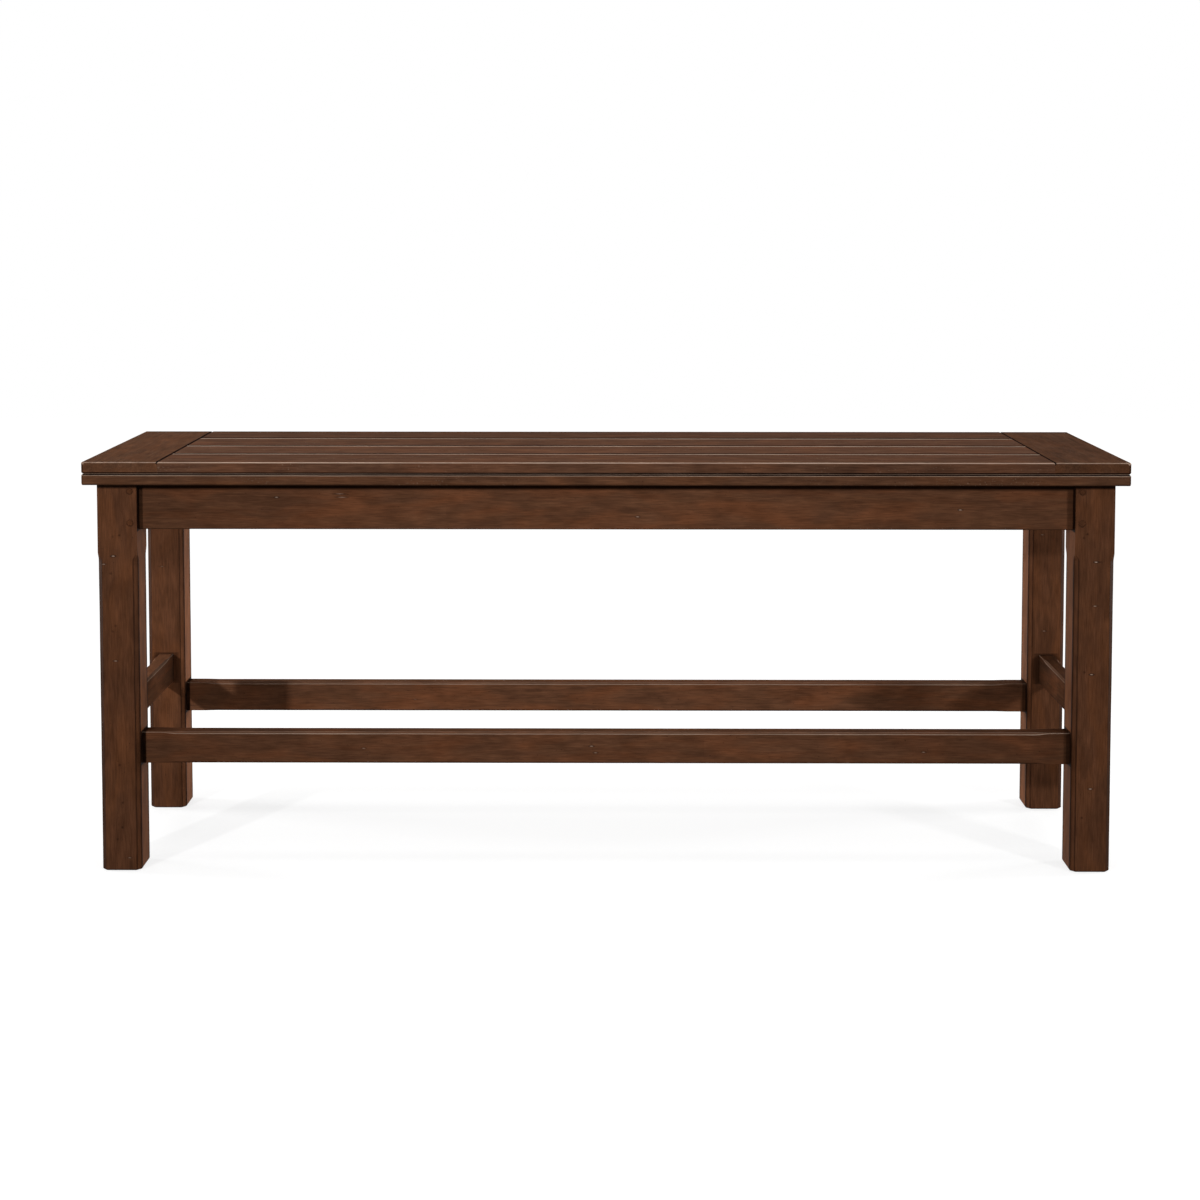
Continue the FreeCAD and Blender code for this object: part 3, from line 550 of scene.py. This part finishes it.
def stained_wood(name, dark, light, red, staves=0.0, scuffs=0.0, grain_turn=None, roughness=0.5,
                 sheen=0.0004):
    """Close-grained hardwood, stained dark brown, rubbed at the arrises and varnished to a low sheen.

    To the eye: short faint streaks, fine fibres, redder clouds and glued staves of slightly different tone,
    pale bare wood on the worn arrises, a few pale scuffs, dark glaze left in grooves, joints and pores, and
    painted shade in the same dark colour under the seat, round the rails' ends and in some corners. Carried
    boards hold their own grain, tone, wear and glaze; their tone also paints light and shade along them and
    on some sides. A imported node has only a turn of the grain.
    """
    material = bpy.data.materials.new(name)
    material.use_nodes = True
    tree = material.node_tree
    shader = tree.nodes["Principled BSDF"]
    is_board = grain_turn is None
    if is_board:
        patterns = GRAIN_PATTERNS + WEAR_PATTERNS
        ramps = GRAIN_RAMPS + WEAR_RAMPS
        grain = add_node(tree, "ShaderNodeAttribute", attribute_name="grain").outputs["Vector"]
    else:
        patterns = GRAIN_PATTERNS
        ramps = GRAIN_RAMPS
        place = add_node(tree, "ShaderNodeTexCoord").outputs["Object"]
        grain = add_node(tree, "ShaderNodeMapping", {"Vector": place, "Rotation": grain_turn}).outputs[0]

    pattern = {}
    for title, length, width, detail, distortion in patterns:
        per_metre = (1 / (length * MM), 1 / (width * MM), 1 / (width * MM))
        stretched = add_node(tree, "ShaderNodeVectorMath", {0: grain, 1: per_metre}, operation="MULTIPLY")
        noise = add_node(tree, "ShaderNodeTexNoise", {"Vector": stretched.outputs[0], "Scale": 1.0,
                                                      "Detail": detail, "Distortion": distortion})
        pattern[title] = noise.outputs[0]
    ramp = {}
    for title, source, start, stop, first, last in ramps:
        between = add_node(tree, "ShaderNodeMapRange", {"Value": pattern[source], "From Min": start,
                                                        "From Max": stop, "To Min": first, "To Max": last})
        ramp[title] = between.outputs[0]

    # Staves: each row of them starts at its own place along the board, and each stave has its own tone.
    across_staves = 1 / (STAVE_WIDTH * MM)
    along_staves = 1 / (STAVE_LENGTH * MM)
    rows = add_node(tree, "ShaderNodeVectorMath", {0: grain, 1: (0, across_staves, across_staves)},
                    operation="MULTIPLY")
    row_number = add_node(tree, "ShaderNodeVectorMath", {0: rows.outputs[0]}, operation="FLOOR")
    row_chance = add_node(tree, "ShaderNodeTexWhiteNoise", {"Vector": row_number.outputs[0]})
    row_start = add_node(tree, "ShaderNodeCombineXYZ", {"X": row_chance.outputs["Value"]})
    cells = add_node(tree, "ShaderNodeVectorMath",
                     {0: grain, 1: (along_staves, across_staves, across_staves), 2: row_start.outputs[0]},
                     operation="MULTIPLY_ADD")
    stave_number = add_node(tree, "ShaderNodeVectorMath", {0: cells.outputs[0]}, operation="FLOOR")
    stave_chance = add_node(tree, "ShaderNodeTexWhiteNoise", {"Vector": stave_number.outputs[0]})
    stave_tone = add_node(tree, "ShaderNodeMapRange", {"Value": stave_chance.outputs["Value"],
                                                       "To Min": 1 - staves, "To Max": 1 + staves})

    streaked = add_node(tree, "ShaderNodeMix", {0: ramp["streak_share"], 6: srgb(dark), 7: srgb(light)},
                        data_type="RGBA")
    colour = add_node(tree, "ShaderNodeMix", {0: ramp["red_share"], 6: streaked.outputs[2], 7: srgb(red)},
                      data_type="RGBA").outputs[2]
    tones = [ramp["fibre_tone"], ramp["patch_tone"], stave_tone.outputs[0]]
    # A board's tone attribute also paints light and shade along it and on some sides
    if is_board:
        tones.append(add_node(tree, "ShaderNodeAttribute", attribute_name="tone").outputs["Fac"])
    for tone in tones:
        colour = add_node(tree, "ShaderNodeMix", {0: 1.0, 6: colour, 7: tone}, data_type="RGBA",
                          blend_type="MULTIPLY").outputs[2]

    if is_board:
        # The glaze attribute holds dark glaze in grooves, joints and pores, and painted shade under the seat,
        # round the rails' ends, on the legs' inner chamfers and behind the plank joints
        glaze = add_node(tree, "ShaderNodeAttribute", attribute_name="glaze").outputs["Fac"]
        smudged_glaze_and_shade = add_node(tree, "ShaderNodeMath", {0: glaze, 1: ramp["smudged"]}, operation="MULTIPLY")
        glaze_and_shade_share = add_node(tree, "ShaderNodeMath", {0: smudged_glaze_and_shade.outputs[0], 1: ramp["in_pores"]},
                               operation="MAXIMUM")
        colour = add_node(tree, "ShaderNodeMix", {0: glaze_and_shade_share.outputs[0], 6: colour, 7: srgb(GLAZE_AND_SHADE_COLOUR)},
                          data_type="RGBA").outputs[2]
        # The wear attribute holds worn bare wood, and also painted highlight in the seat's groove and plank
        # joints
        wear = add_node(tree, "ShaderNodeAttribute", attribute_name="wear").outputs["Fac"]
        on_arrises = add_node(tree, "ShaderNodeMath", {0: wear, 1: ramp["rubbed"]}, operation="MULTIPLY")
        in_places = add_node(tree, "ShaderNodeMath", {0: ramp["scuffed"], 1: ramp["where_scuffed"]},
                             operation="MULTIPLY")
        scuff_share = add_node(tree, "ShaderNodeMath", {0: in_places.outputs[0], 1: scuffs},
                               operation="MULTIPLY")
        bare_share = add_node(tree, "ShaderNodeMath", {0: on_arrises.outputs[0], 1: scuff_share.outputs[0]},
                              operation="MAXIMUM", use_clamp=True)
        colour = add_node(tree, "ShaderNodeMix", {0: bare_share.outputs[0], 6: colour, 7: srgb(BARE_WOOD)},
                          data_type="RGBA").outputs[2]

    tree.links.new(colour, shader.inputs["Base Color"])
    fibre_roughness = add_node(tree, "ShaderNodeMapRange", {
        "Value": pattern["fibres"], "To Min": roughness - ROUGHNESS_SPREAD,
        "To Max": roughness + ROUGHNESS_SPREAD})
    tree.links.new(fibre_roughness.outputs[0], shader.inputs["Roughness"])
    shader.inputs["Specular IOR Level"].default_value = sheen
    relief = add_node(tree, "ShaderNodeBump", {
        "Height": pattern["fibres"], "Strength": RELIEF_STRENGTH, "Distance": RELIEF_DEPTH * MM})
    tree.links.new(relief.outputs[0], shader.inputs["Normal"])
    return material


# Zinc plating: size of its mottle in millimetres, detail, colours and roughness
MOTTLE_SIZE = 1.5
MOTTLE_DETAIL = 3.0
PLATING_DARK = "#8d8b86"
PLATING_LIGHT = "#bab8b2"
PLATING_SMOOTHEST = 0.3
PLATING_ROUGHEST = 0.5


def plated_steel(name):
    """Zinc-plated steel: a pale grey metal whose plating is mottled and dull."""
    material = bpy.data.materials.new(name)
    material.use_nodes = True
    tree = material.node_tree
    shader = tree.nodes["Principled BSDF"]
    place = add_node(tree, "ShaderNodeTexCoord").outputs["Object"]
    mottle = add_node(tree, "ShaderNodeTexNoise", {"Vector": place, "Scale": 1 / (MOTTLE_SIZE * MM),
                                                   "Detail": MOTTLE_DETAIL})
    plating = add_node(tree, "ShaderNodeMix", {0: mottle.outputs[0], 6: srgb(PLATING_DARK),
                                               7: srgb(PLATING_LIGHT)}, data_type="RGBA")
    tree.links.new(plating.outputs[2], shader.inputs["Base Color"])
    dulled = add_node(tree, "ShaderNodeMapRange", {"Value": mottle.outputs[0], "To Min": PLATING_SMOOTHEST,
                                                   "To Max": PLATING_ROUGHEST})
    tree.links.new(dulled.outputs[0], shader.inputs["Roughness"])
    shader.inputs["Metallic"].default_value = 1.0
    return material


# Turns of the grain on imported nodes, and the finish of the wood inside the frame
TURN_TO_Y = (0, 0, math.radians(-90))
TURN_TO_BRACE = (0, 0, math.radians(45))
INNER_COLOURS = ("#4b3424", "#6a4b36", "#684228")
INNER_ROUGHNESS = 0.75
seat_wood = stained_wood("stained_hardwood_seat", "#432c21", "#593e2e", "#593928", staves=0.04, scuffs=0.2)
end_wood = stained_wood("stained_hardwood_seat_ends", "#422b1e", "#573b2a", "#573724", scuffs=0.15)
leg_wood = stained_wood("stained_hardwood_legs", "#452b1c", "#533423", "#583520", sheen=0.005)
rail_wood = stained_wood("stained_hardwood_rails", "#482e20", "#583a28", "#5e3823", staves=0.05, sheen=0.001)
peg_wood = stained_wood("stained_hardwood_pegs", "#3c2518", "#4a2e1e", "#4d2e1c", grain_turn=TURN_TO_Y)
brace_wood = stained_wood("bare_hardwood_braces", *INNER_COLOURS, grain_turn=TURN_TO_BRACE,
                          roughness=INNER_ROUGHNESS)
cross_rail_wood = stained_wood("bare_hardwood_cross_rails", *INNER_COLOURS, grain_turn=TURN_TO_Y,
                               roughness=INNER_ROUGHNESS)
screw_steel = plated_steel("zinc_plated_steel")

# Places that several boards share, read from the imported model
left_end = node_box("seat_end_left")
right_end = node_box("seat_end_right")
left_leg = node_box("leg_front_left")
right_leg = node_box("leg_front_right")
rear_leg = node_box("leg_rear_left")
pegs_low, pegs_high = node_box("pegs_front")

# Planks of the seat, with their tones, which paint light: lighter at the middle and darker towards the right
# end; the rear plank is darker. Corners of boards along X: lower front, lower rear, upper rear, upper front.
# Their sides: bottom, rear, top, front.
PLANK_PAINTED_LIGHT_TONES = {"seat_plank_front": (1.0, 1.03, 0.88), "seat_plank_front_middle": (1.07, 1.1, 1.0),
               "seat_plank_rear_middle": (1.0, 1.02, 0.95), "seat_plank_rear": (0.83, 0.83, 0.8)}
plank_nodes = list(PLANK_PAINTED_LIGHT_TONES)
plank_edges = [*(node_box(node)[0][1] for node in plank_nodes), left_end[1][1]]
plain = Arris(PLAIN_EASE)
seat_front_edge = Arris(SEAT_ROUND, 1, WORN_ROUND)
seat_rear_edge = Arris(SEAT_ROUND, 1, WORN_ROUND_BACK, GLAZED_RIM, shade=(0, REAR_RIM_SHADE))
groove_above = Arris(GROOVE_ABOVE, 0, NONE, GLAZED_CUT)
# Painted shade over PLANK_SHADE on a plank's top behind each joint, beside the glaze in it
vee_before_plank = Arris(PLANK_VEE, 0, NONE, GLAZE_AND_SHADE_VEE_BEFORE, shade=(PLANK_SHADE, 0))
vee_behind_plank = Arris(PLANK_VEE, 0, WEAR_AND_HIGHLIGHT_VEE_BEHIND, GLAZED_VEE_BEHIND, rub=(0, PLANK_RUB_AND_HIGHLIGHT))
joint_end = (Ease(), Ease(), Ease(END_VEE, 0, NONE, GLAZED_END), Ease())
for index, node in enumerate(plank_nodes):
    low = np.array((left_end[1][0], plank_edges[index], left_end[0][2]))
    high = np.array((right_end[0][0], plank_edges[index + 1], left_end[1][2]))
    arrises = [plain, plain, vee_behind_plank, vee_before_plank]
    if node == plank_nodes[0]:
        arrises[0] = groove_above
        arrises[3] = seat_front_edge
    if node == plank_nodes[-1]:
        arrises[1] = groove_above
        arrises[2] = seat_rear_edge
    mesh = carried_board(node, ALONG_X, (low, high), arrises, (joint_end, joint_end), tones=PLANK_PAINTED_LIGHT_TONES[node])
    place_board(node, seat_wood, mesh)

# Boards across the ends: tone, darker on the right as painted light, and reach of the glaze beside the joint
# with the planks in millimetres.
# Corners of boards along Y: lower left, upper left, upper right, lower right. Their sides: left, top,
# right, bottom.
END_BOARDS = {"seat_end_left": (1.02, 1.8), "seat_end_right": (0.76, 0.8)}
outer_edge = Arris(SEAT_ROUND, 1, FAINT_ROUND)
seat_corner = Ease(SEAT_CORNER, 1, NONE, GLAZED_SEAT_CORNER)
for node, (tone, vee_shade) in END_BOARDS.items():
    inner_vee = Arris(END_VEE, 0, NONE, FULL, shade=(vee_shade, vee_shade))
    end = [Ease(), Ease(SEAT_ROUND, 1, WORN_END), Ease(), Ease(GROOVE_ABOVE, 0, NONE, GLAZED_END)]
    if node == "seat_end_left":
        arrises = (groove_above, outer_edge, inner_vee, plain)
        end[0] = seat_corner
    else:
        arrises = (plain, inner_vee, outer_edge, groove_above)
        end[2] = seat_corner
    mesh = carried_board(node, ALONG_Y, node_box(node), arrises, (end, end), tones=(tone,))
    place_board(node, end_wood, mesh)

# Strips below the groove, round the seat, with tones that paint light: lighter at the middle and darker
# towards the right end
STRIP_PAINTED_LIGHT_TONES = (1.0, 1.06, 0.88)
lower_edge = Arris(SEAT_ROUND, 1, NONE, GLAZED_LOW)
groove_below = Arris(GROOVE_BELOW, 0, WEAR_AND_HIGHLIGHT_GROOVE, GLAZED_CHAMFER)
groove_below_back = Arris(GROOVE_BELOW, 0, WEAR_AND_HIGHLIGHT_GROOVE_BACK, GLAZED_CHAMFER)
strip_end = (Ease(SEAT_ROUND, 1, NONE, GLAZED_FAINT_END), seat_corner,
             Ease(GROOVE_BELOW, 0, WEAR_AND_HIGHLIGHT_GROOVE_END, GLAZED_CHAMFER), seat_corner)
for node, inner_side, arrises in (("edge_strip_front", 1, (lower_edge, plain, plain, groove_below)),
                                  ("edge_strip_rear", 3, (plain, lower_edge, groove_below_back, plain))):
    end = list(strip_end)
    end[inner_side] = Ease()
    mesh = carried_board(node, ALONG_X, node_box(node), arrises, (end, end), tones=STRIP_PAINTED_LIGHT_TONES)
    place_board(node, end_wood, mesh)
for node, arrises in (("edge_strip_left", (lower_edge, groove_below_back, plain, plain)),
                      ("edge_strip_right", (plain, plain, groove_below, lower_edge))):
    mesh = carried_board(node, ALONG_Y, node_box(node), arrises, tones=STRIP_PAINTED_LIGHT_TONES[:1])
    place_board(node, end_wood, mesh)


def joint_shades(corner_end, corner_side):
    """Painted shade on a leg's two inner faces, round the four rails that end there."""
    long_face = LEG_RIGHT if corner_side == "left" else LEG_LEFT
    side_face = LEG_REAR if corner_end == "front" else LEG_FRONT
    painted_shades = []
    for kind in ("apron", "stretcher"):
        for rail, face, axis, reach, strength in (
                (f"{kind}_{corner_end}", long_face, ALONG_Y, LONG_RAIL_SHADE, LONG_RAIL_SHADE_STRENGTH),
                (f"{kind}_{corner_side}", side_face, ALONG_X, SIDE_RAIL_SHADE, SIDE_RAIL_SHADE_STRENGTH)):
            low, high = node_box(rail)
            painted_shades.append(JointShade(face, (low[2], high[2]), (low[axis], high[axis]), reach, strength))
    return painted_shades


# Legs: tones, which paint light, lighter on the rear legs and towards the front left leg's top, and nicks at
# a height and a distance from the left edge, with their strength. Corners of a leg: left front, right front,
# right rear, left rear. Its sides: front, right, rear, left.
LEG_PAINTED_LIGHT_TONES = {"leg_front_left": (0.95, 0.88, 1.09), "leg_front_right": (0.95, 0.95, 0.97),
             "leg_rear_left": (1.33, 1.42, 1.4), "leg_rear_right": (1.15, 1.15, 1.15)}
LEG_NICKS = {
    "leg_front_left": ((469, 22.8, 1.0), (457, 8.5, 0.5), (313.6, 24, 0.6), (19.3, 40.9, 0.3)),
    "leg_front_right": ((461.8, 31.3, 0.8), (397, 30.5, 0.5), (295.5, 26.9, 0.9), (125, 27.6, 0.7)),
    "leg_rear_left": ((398, 23.7, 0.4), (215, 38, 0.2)),
    "leg_rear_right": ((451.5, 20.5, 0.3), (294, 25.3, 0.4)),
}
LEG_OLD_NICKS = {
    "leg_front_left": ((499.6, 32.1, 0.6), (497.7, 22.3, 0.4), (443.3, 19.1, 0.6), (365.5, 24.8, 0.5),
                       (357, 20.7, 0.5), (158, 27.9, 0.5), (101.6, 31.5, 0.6), (64.7, 30.8, 0.7),
                       (47, 23.5, 0.6)),
    "leg_front_right": ((502.8, 17.9, 0.7), (497, 12.6, 0.5), (298.7, 16.5, 0.6), (81.3, 15.9, 0.6)),
}
# Painted shade under the seat on the tops of the legs
LEG_JOINTS = (Joint(), Joint(LEG_TOP_SHADE_STRENGTH, LEG_TOP_SHADE))
outer = Arris(LEG_EASE, 0, NONE, GLAZED_OUTER)
# Inner corners of the legs: dark glaze at the arrises, painted shade over the chamfer and over INNER_SHADE
# onto the inner face
inner_after = Arris(LEG_EASE, 0, NONE, GLAZE_AND_SHADE_INNER, shade=(ARRIS_SHADE, INNER_SHADE))
inner_before = Arris(LEG_EASE, 0, NONE, GLAZE_AND_SHADE_INNER_BACK, shade=(INNER_SHADE, ARRIS_SHADE))
LEG_CORNERS = {"left": (outer, inner_after, inner_before, outer),
               "right": (inner_before, outer, outer, inner_after)}
foot = (Ease(FOOT_ROUND, 1, NONE, GLAZED_FAINT_END),) * 4
for node, tones in LEG_PAINTED_LIGHT_TONES.items():
    low, high = node_box(node)
    corner_end, corner_side = node.split("_")[1:]
    peg_x = pegs_low[0] + PEG_RADIUS if corner_side == "left" else pegs_high[0] - PEG_RADIUS
    peg_face = LEG_FRONT if corner_end == "front" else LEG_REAR
    peg_heights = (pegs_low[2] + PEG_RADIUS, pegs_high[2] - PEG_RADIUS)
    details = [PegRing(peg_face, peg_z, peg_x) for peg_z in peg_heights]
    details += [Nick(LEG_FRONT, height, low[0] + offset, NICK_HEIGHT, NICK_LENGTH, strength)
                for height, offset, strength in LEG_NICKS[node]]
    details += [Nick(LEG_FRONT, height, low[0] + offset, OLD_NICK_SIZE, OLD_NICK_SIZE, strength, is_old=True)
                for height, offset, strength in LEG_OLD_NICKS.get(node, ())]
    details += joint_shades(corner_end, corner_side)
    stopped = StoppedChamfer(LEG_EASE, LEG_CHAMFER, LEG_RUN_OUT, [(high[2] - LEG_PLAIN_TOP, -1)])
    mesh = carried_board(node, ALONG_Z, (low, high), LEG_CORNERS[corner_side], (foot, PLAIN_END), stopped,
                         details, LEG_JOINTS, tones)
    place_board(node, leg_wood, mesh)

# Rails: tones, on the side stretchers for the left, top, right and bottom, and nicks and scratches at a place
# along X and a height, with their strength. The tones paint light and shade: the side stretchers are darker
# towards their ends and darkest on their inner faces, the left one's top is lighter, as if lit, and the right
# one's top darker, as if shaded.
SIDE_OUTER_PAINTED_SHADE = (0.4, 0.9, 0.5)
SIDE_INNER_PAINTED_SHADE = (0.2, 0.55, 0.2)
PAINTED_LIGHT_TOP = (1.8, 1.8, 1.8)
PAINTED_SHADE_TOP = (0.5, 0.7, 0.5)
# Tones that paint light: the apron and front stretcher darker towards their ends, the rear stretcher lighter
RAIL_PAINTED_LIGHT_TONES = {
    "apron_front": (0.78, 1.13, 1.13, 0.92),
    "stretcher_front": (0.74, 1.07, 1.07, 0.69),
    "stretcher_rear": (1.2, 1.37, 1.37, 1.0),
    "stretcher_left": (SIDE_OUTER_PAINTED_SHADE, PAINTED_LIGHT_TOP, SIDE_INNER_PAINTED_SHADE, SIDE_OUTER_PAINTED_SHADE),
    "stretcher_right": (SIDE_INNER_PAINTED_SHADE, PAINTED_SHADE_TOP, SIDE_OUTER_PAINTED_SHADE, SIDE_OUTER_PAINTED_SHADE),
}
RAIL_NICKS = {
    "apron_front": ((-483, 554.3, 0.7), (47, 526, 0.6), (520, 536.6, 0.7)),
    "stretcher_front": ((-20.6, 183, 0.6), (-14.7, 173.4, 0.5), (-358, 179.3, 0.4), (470.5, 174.8, 0.4)),
    "stretcher_rear": ((-312, 176, 0.2),),
}
RAIL_SCRATCHES = {"apron_front": ((-390, 559.5, 0.5), (-387, 554.5, 0.5))}
# Painted shadow of the legs on the stretchers' ends, darker at the first end, and dark glaze with painted
# shade at the aprons' ends
RAIL_JOINTS = {
    "apron": (Joint(APRON_END_GLAZE_AND_SHADE, APRON_END_SHADE),) * 2,
    "stretcher": (Joint(STRETCHER_FIRST_SHADOW, STRETCHER_END_SHADE),
                  Joint(STRETCHER_LAST_SHADOW, STRETCHER_END_SHADE)),
}
apron_low_edge = Arris(APRON_ROUND, 1, NONE, GLAZED_LOW)
# The aprons' top edges get painted shade from the seat, reaching SEAT_SHADE down their faces
apron_top_edge = Arris(PLAIN_EASE, 0, NONE, PAINTED_SHADE_UNDER_SEAT, shade=(SEAT_SHADE, SEAT_SHADE))
stretcher_low_edge = Arris(STRETCHER_EASE, 1, NONE, GLAZED_LOW)
stretcher_front_edge = Arris(STRETCHER_EASE, 0, WORN_CHAMFER)
stretcher_back_edge = Arris(STRETCHER_EASE, 0, WORN_CHAMFER_BACK)
side_front_edge = Arris(STRETCHER_EASE, 0, FAINT_CHAMFER)
side_back_edge = Arris(STRETCHER_EASE, 0, FAINT_CHAMFER_BACK)
LONG_RAILS = {
    "apron": (apron_low_edge, apron_low_edge, apron_top_edge, apron_top_edge),
    "stretcher": (stretcher_low_edge, stretcher_low_edge, stretcher_back_edge, stretcher_front_edge),
}
SIDE_RAILS = {
    "apron": (apron_low_edge, apron_top_edge, apron_top_edge, apron_low_edge),
    "stretcher": (stretcher_low_edge, side_back_edge, side_front_edge, stretcher_low_edge),
}


def rail_board(node, along, begin, finish, arrises):
    """Rail between the faces of two legs; a stretcher's chamfers stop short of them."""
    low, high = node_box(node)
    low[along] = begin
    high[along] = finish
    details = [Nick(RAIL_FRONT, place, height, NICK_LENGTH, NICK_HEIGHT, strength)
               for place, height, strength in RAIL_NICKS.get(node, ())]
    details += [Nick(RAIL_FRONT, place, height, SCRATCH_LENGTH, SCRATCH_HEIGHT, strength)
                for place, height, strength in RAIL_SCRATCHES.get(node, ())]
    stopped = None
    if node.startswith("stretcher"):
        stops = [(begin + STRETCHER_PLAIN_END, 1), (finish - STRETCHER_PLAIN_END, -1)]
        stopped = StoppedChamfer(STRETCHER_EASE, STRETCHER_CHAMFER, STRETCHER_RUN_OUT, stops)
    mesh = carried_board(node, along, (low, high), arrises, stopped=stopped, details=details,
                         joints=RAIL_JOINTS[node.split("_")[0]], tones=RAIL_PAINTED_LIGHT_TONES.get(node, EVEN_TONE))
    place_board(node, rail_wood, mesh)


for kind in LONG_RAILS:
    for side in ("front", "rear"):
        rail_board(f"{kind}_{side}", ALONG_X, left_leg[1][0], right_leg[0][0], LONG_RAILS[kind])
    for side in ("left", "right"):
        rail_board(f"{kind}_{side}", ALONG_Y, left_leg[1][1], rear_leg[0][1], SIDE_RAILS[kind])

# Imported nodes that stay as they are, with their finishes
KEPT_FINISHES = {
    "pegs_front": peg_wood, "pegs_rear": peg_wood,
    "corner_block_front_left": brace_wood, "corner_block_front_right": brace_wood,
    "corner_block_rear_left": brace_wood, "corner_block_rear_right": brace_wood,
    "cross_rail_left": cross_rail_wood, "cross_rail_right": cross_rail_wood,
    "seat_screws": screw_steel,
}
for node, finish in KEPT_FINISHES.items():
    for material_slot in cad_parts[node].material_slots:
        material_slot.material = finish


def seen_white(tree):
    """Share that is 1 for rays from the camera, from gloss and through glass, and 0 for light on surfaces."""
    path = add_node(tree, "ShaderNodeLightPath")
    seen = add_node(tree, "ShaderNodeMath",
                    {0: path.outputs["Is Camera Ray"], 1: path.outputs["Is Glossy Ray"]}, operation="ADD")
    through = add_node(tree, "ShaderNodeMath", {0: seen.outputs[0], 1: path.outputs["Is Transmission Ray"]},
                       operation="ADD", use_clamp=True)
    return through.outputs[0]


# White studio: the background and floor are white to the eye and in reflections
AMBIENT = 0.09
WHITE = (1, 1, 1, 1)
scene = bpy.context.scene
scene.view_settings.view_transform = "Standard"
world = bpy.data.worlds.new("white_studio")
scene.world = world
world.use_nodes = True
tree = world.node_tree
tree.nodes.clear()
soft_light = add_node(tree, "ShaderNodeBackground", {"Color": WHITE, "Strength": AMBIENT})
white = add_node(tree, "ShaderNodeBackground", {"Color": WHITE, "Strength": 1.0})
backdrop = add_node(tree, "ShaderNodeMixShader", {0: seen_white(tree), 1: soft_light.outputs[0],
                                                  2: white.outputs[0]})
add_node(tree, "ShaderNodeOutputWorld", {"Surface": backdrop.outputs[0]})

# Floor, in metres: its own glow makes it white, less a share that takes the bench's shadow and fades out with
# distance
FLOOR_HALF = 6.0
FLOOR_DROP = 0.0005
FLOOR_WHITE = 1.04
FLOOR_GREY = (0.3, 0.3, 0.3, 1)
SHADOW_SHARE = 0.28
SHADOW_NEAR = 1.0
SHADOW_FAR = 2.2
floor_mesh = bpy.data.meshes.new("studio_floor")
floor_corners = [(x * FLOOR_HALF, y * FLOOR_HALF, -FLOOR_DROP)
                 for x, y in ((-1, -1), (1, -1), (1, 1), (-1, 1))]
floor_mesh.from_pydata(floor_corners, [], [(0, 1, 2, 3)])
floor = bpy.data.objects.new("studio_floor", floor_mesh)
scene.collection.objects.link(floor)
floor_paint = bpy.data.materials.new("white_studio_paint")
floor_paint.use_nodes = True
floor_mesh.materials.append(floor_paint)
tree = floor_paint.node_tree
tree.nodes.clear()
place = add_node(tree, "ShaderNodeTexCoord").outputs["Object"]
distance = add_node(tree, "ShaderNodeVectorMath", {0: place}, operation="LENGTH")
shadow_share = add_node(tree, "ShaderNodeMapRange", {
    "Value": distance.outputs["Value"], "From Min": SHADOW_NEAR, "From Max": SHADOW_FAR,
    "To Min": SHADOW_SHARE, "To Max": 0.0})
glow = add_node(tree, "ShaderNodeMath", {0: FLOOR_WHITE, 1: shadow_share.outputs[0]}, operation="SUBTRACT")
shaded = add_node(tree, "ShaderNodeBsdfDiffuse", {"Color": shadow_share.outputs[0]})
glowing = add_node(tree, "ShaderNodeEmission", {"Color": WHITE, "Strength": glow.outputs[0]})
seen_floor = add_node(tree, "ShaderNodeAddShader", {0: shaded.outputs[0], 1: glowing.outputs[0]})
lit_floor = add_node(tree, "ShaderNodeBsdfDiffuse", {"Color": FLOOR_GREY})
floor_surface = add_node(tree, "ShaderNodeMixShader", {0: seen_white(tree), 1: lit_floor.outputs[0],
                                                       2: seen_floor.outputs[0]})
add_node(tree, "ShaderNodeOutputMaterial", {"Surface": floor_surface.outputs[0]})

# Softboxes: azimuth from the front to the right and elevation in degrees, distance, width and height in
# metres, power in watts, and whether gloss shows it. The rear pair stays out of the gloss, as if behind
# flags. All of them face the same point.
SOFTBOXES = {
    "front_left_softbox": (-36, 15.5, 4.1, 0.12, 0.12, 84, True),
    "front_right_softbox": (46, 17, 4.2, 0.35, 0.35, 69, True),
    "left_softbox": (-100, 1, 4.0, 1.0, 0.6, 220, True),
    "right_softbox": (100, 1, 4.0, 1.0, 0.6, 220, True),
    "rear_left_softbox": (-150, 14, 4.0, 2.0, 2.0, 50, False),
    "rear_right_softbox": (150, 14, 4.0, 2.0, 2.0, 50, False),
    "overhead_softbox": (0, 88, 3.2, 3.0, 2.0, 78, True),
}
AIM = np.array((0, 0, 0.35))
for name, (azimuth, elevation, distance, width, height, power, in_gloss) in SOFTBOXES.items():
    turn = math.radians(azimuth)
    rise = math.radians(elevation)
    lamp = bpy.data.lights.new(name, "AREA")
    lamp.shape = "RECTANGLE"
    lamp.size = width
    lamp.size_y = height
    lamp.energy = power
    softbox = bpy.data.objects.new(name, lamp)
    scene.collection.objects.link(softbox)
    outward = np.array((math.sin(turn) * math.cos(rise), -math.cos(turn) * math.cos(rise), math.sin(rise)))
    softbox.location = AIM + distance * outward
    softbox.rotation_euler = (math.pi / 2 - rise, 0, turn)
    softbox.visible_camera = False
    softbox.visible_glossy = in_gloss

# Camera where the photograph was taken: almost level, with the picture shifted down to the bench. Its sensor
# and lens are in millimetres, its place in metres and its turns in degrees.
SENSOR_WIDTH = 36.0
FOCAL_LENGTH = 57.563
LENS_SHIFT = -0.231
CAMERA_PLACE = (0.0039, -2.9619, 0.9721)
CAMERA_TURNS = (86.705, -0.023, 0.252)
camera_data = bpy.data.cameras.new("camera")
camera_data.sensor_width = SENSOR_WIDTH
camera_data.lens = FOCAL_LENGTH
camera_data.shift_y = LENS_SHIFT
camera = bpy.data.objects.new("camera", camera_data)
camera.location = CAMERA_PLACE
camera.rotation_euler = [math.radians(turn) for turn in CAMERA_TURNS]
scene.collection.objects.link(camera)
scene.camera = camera
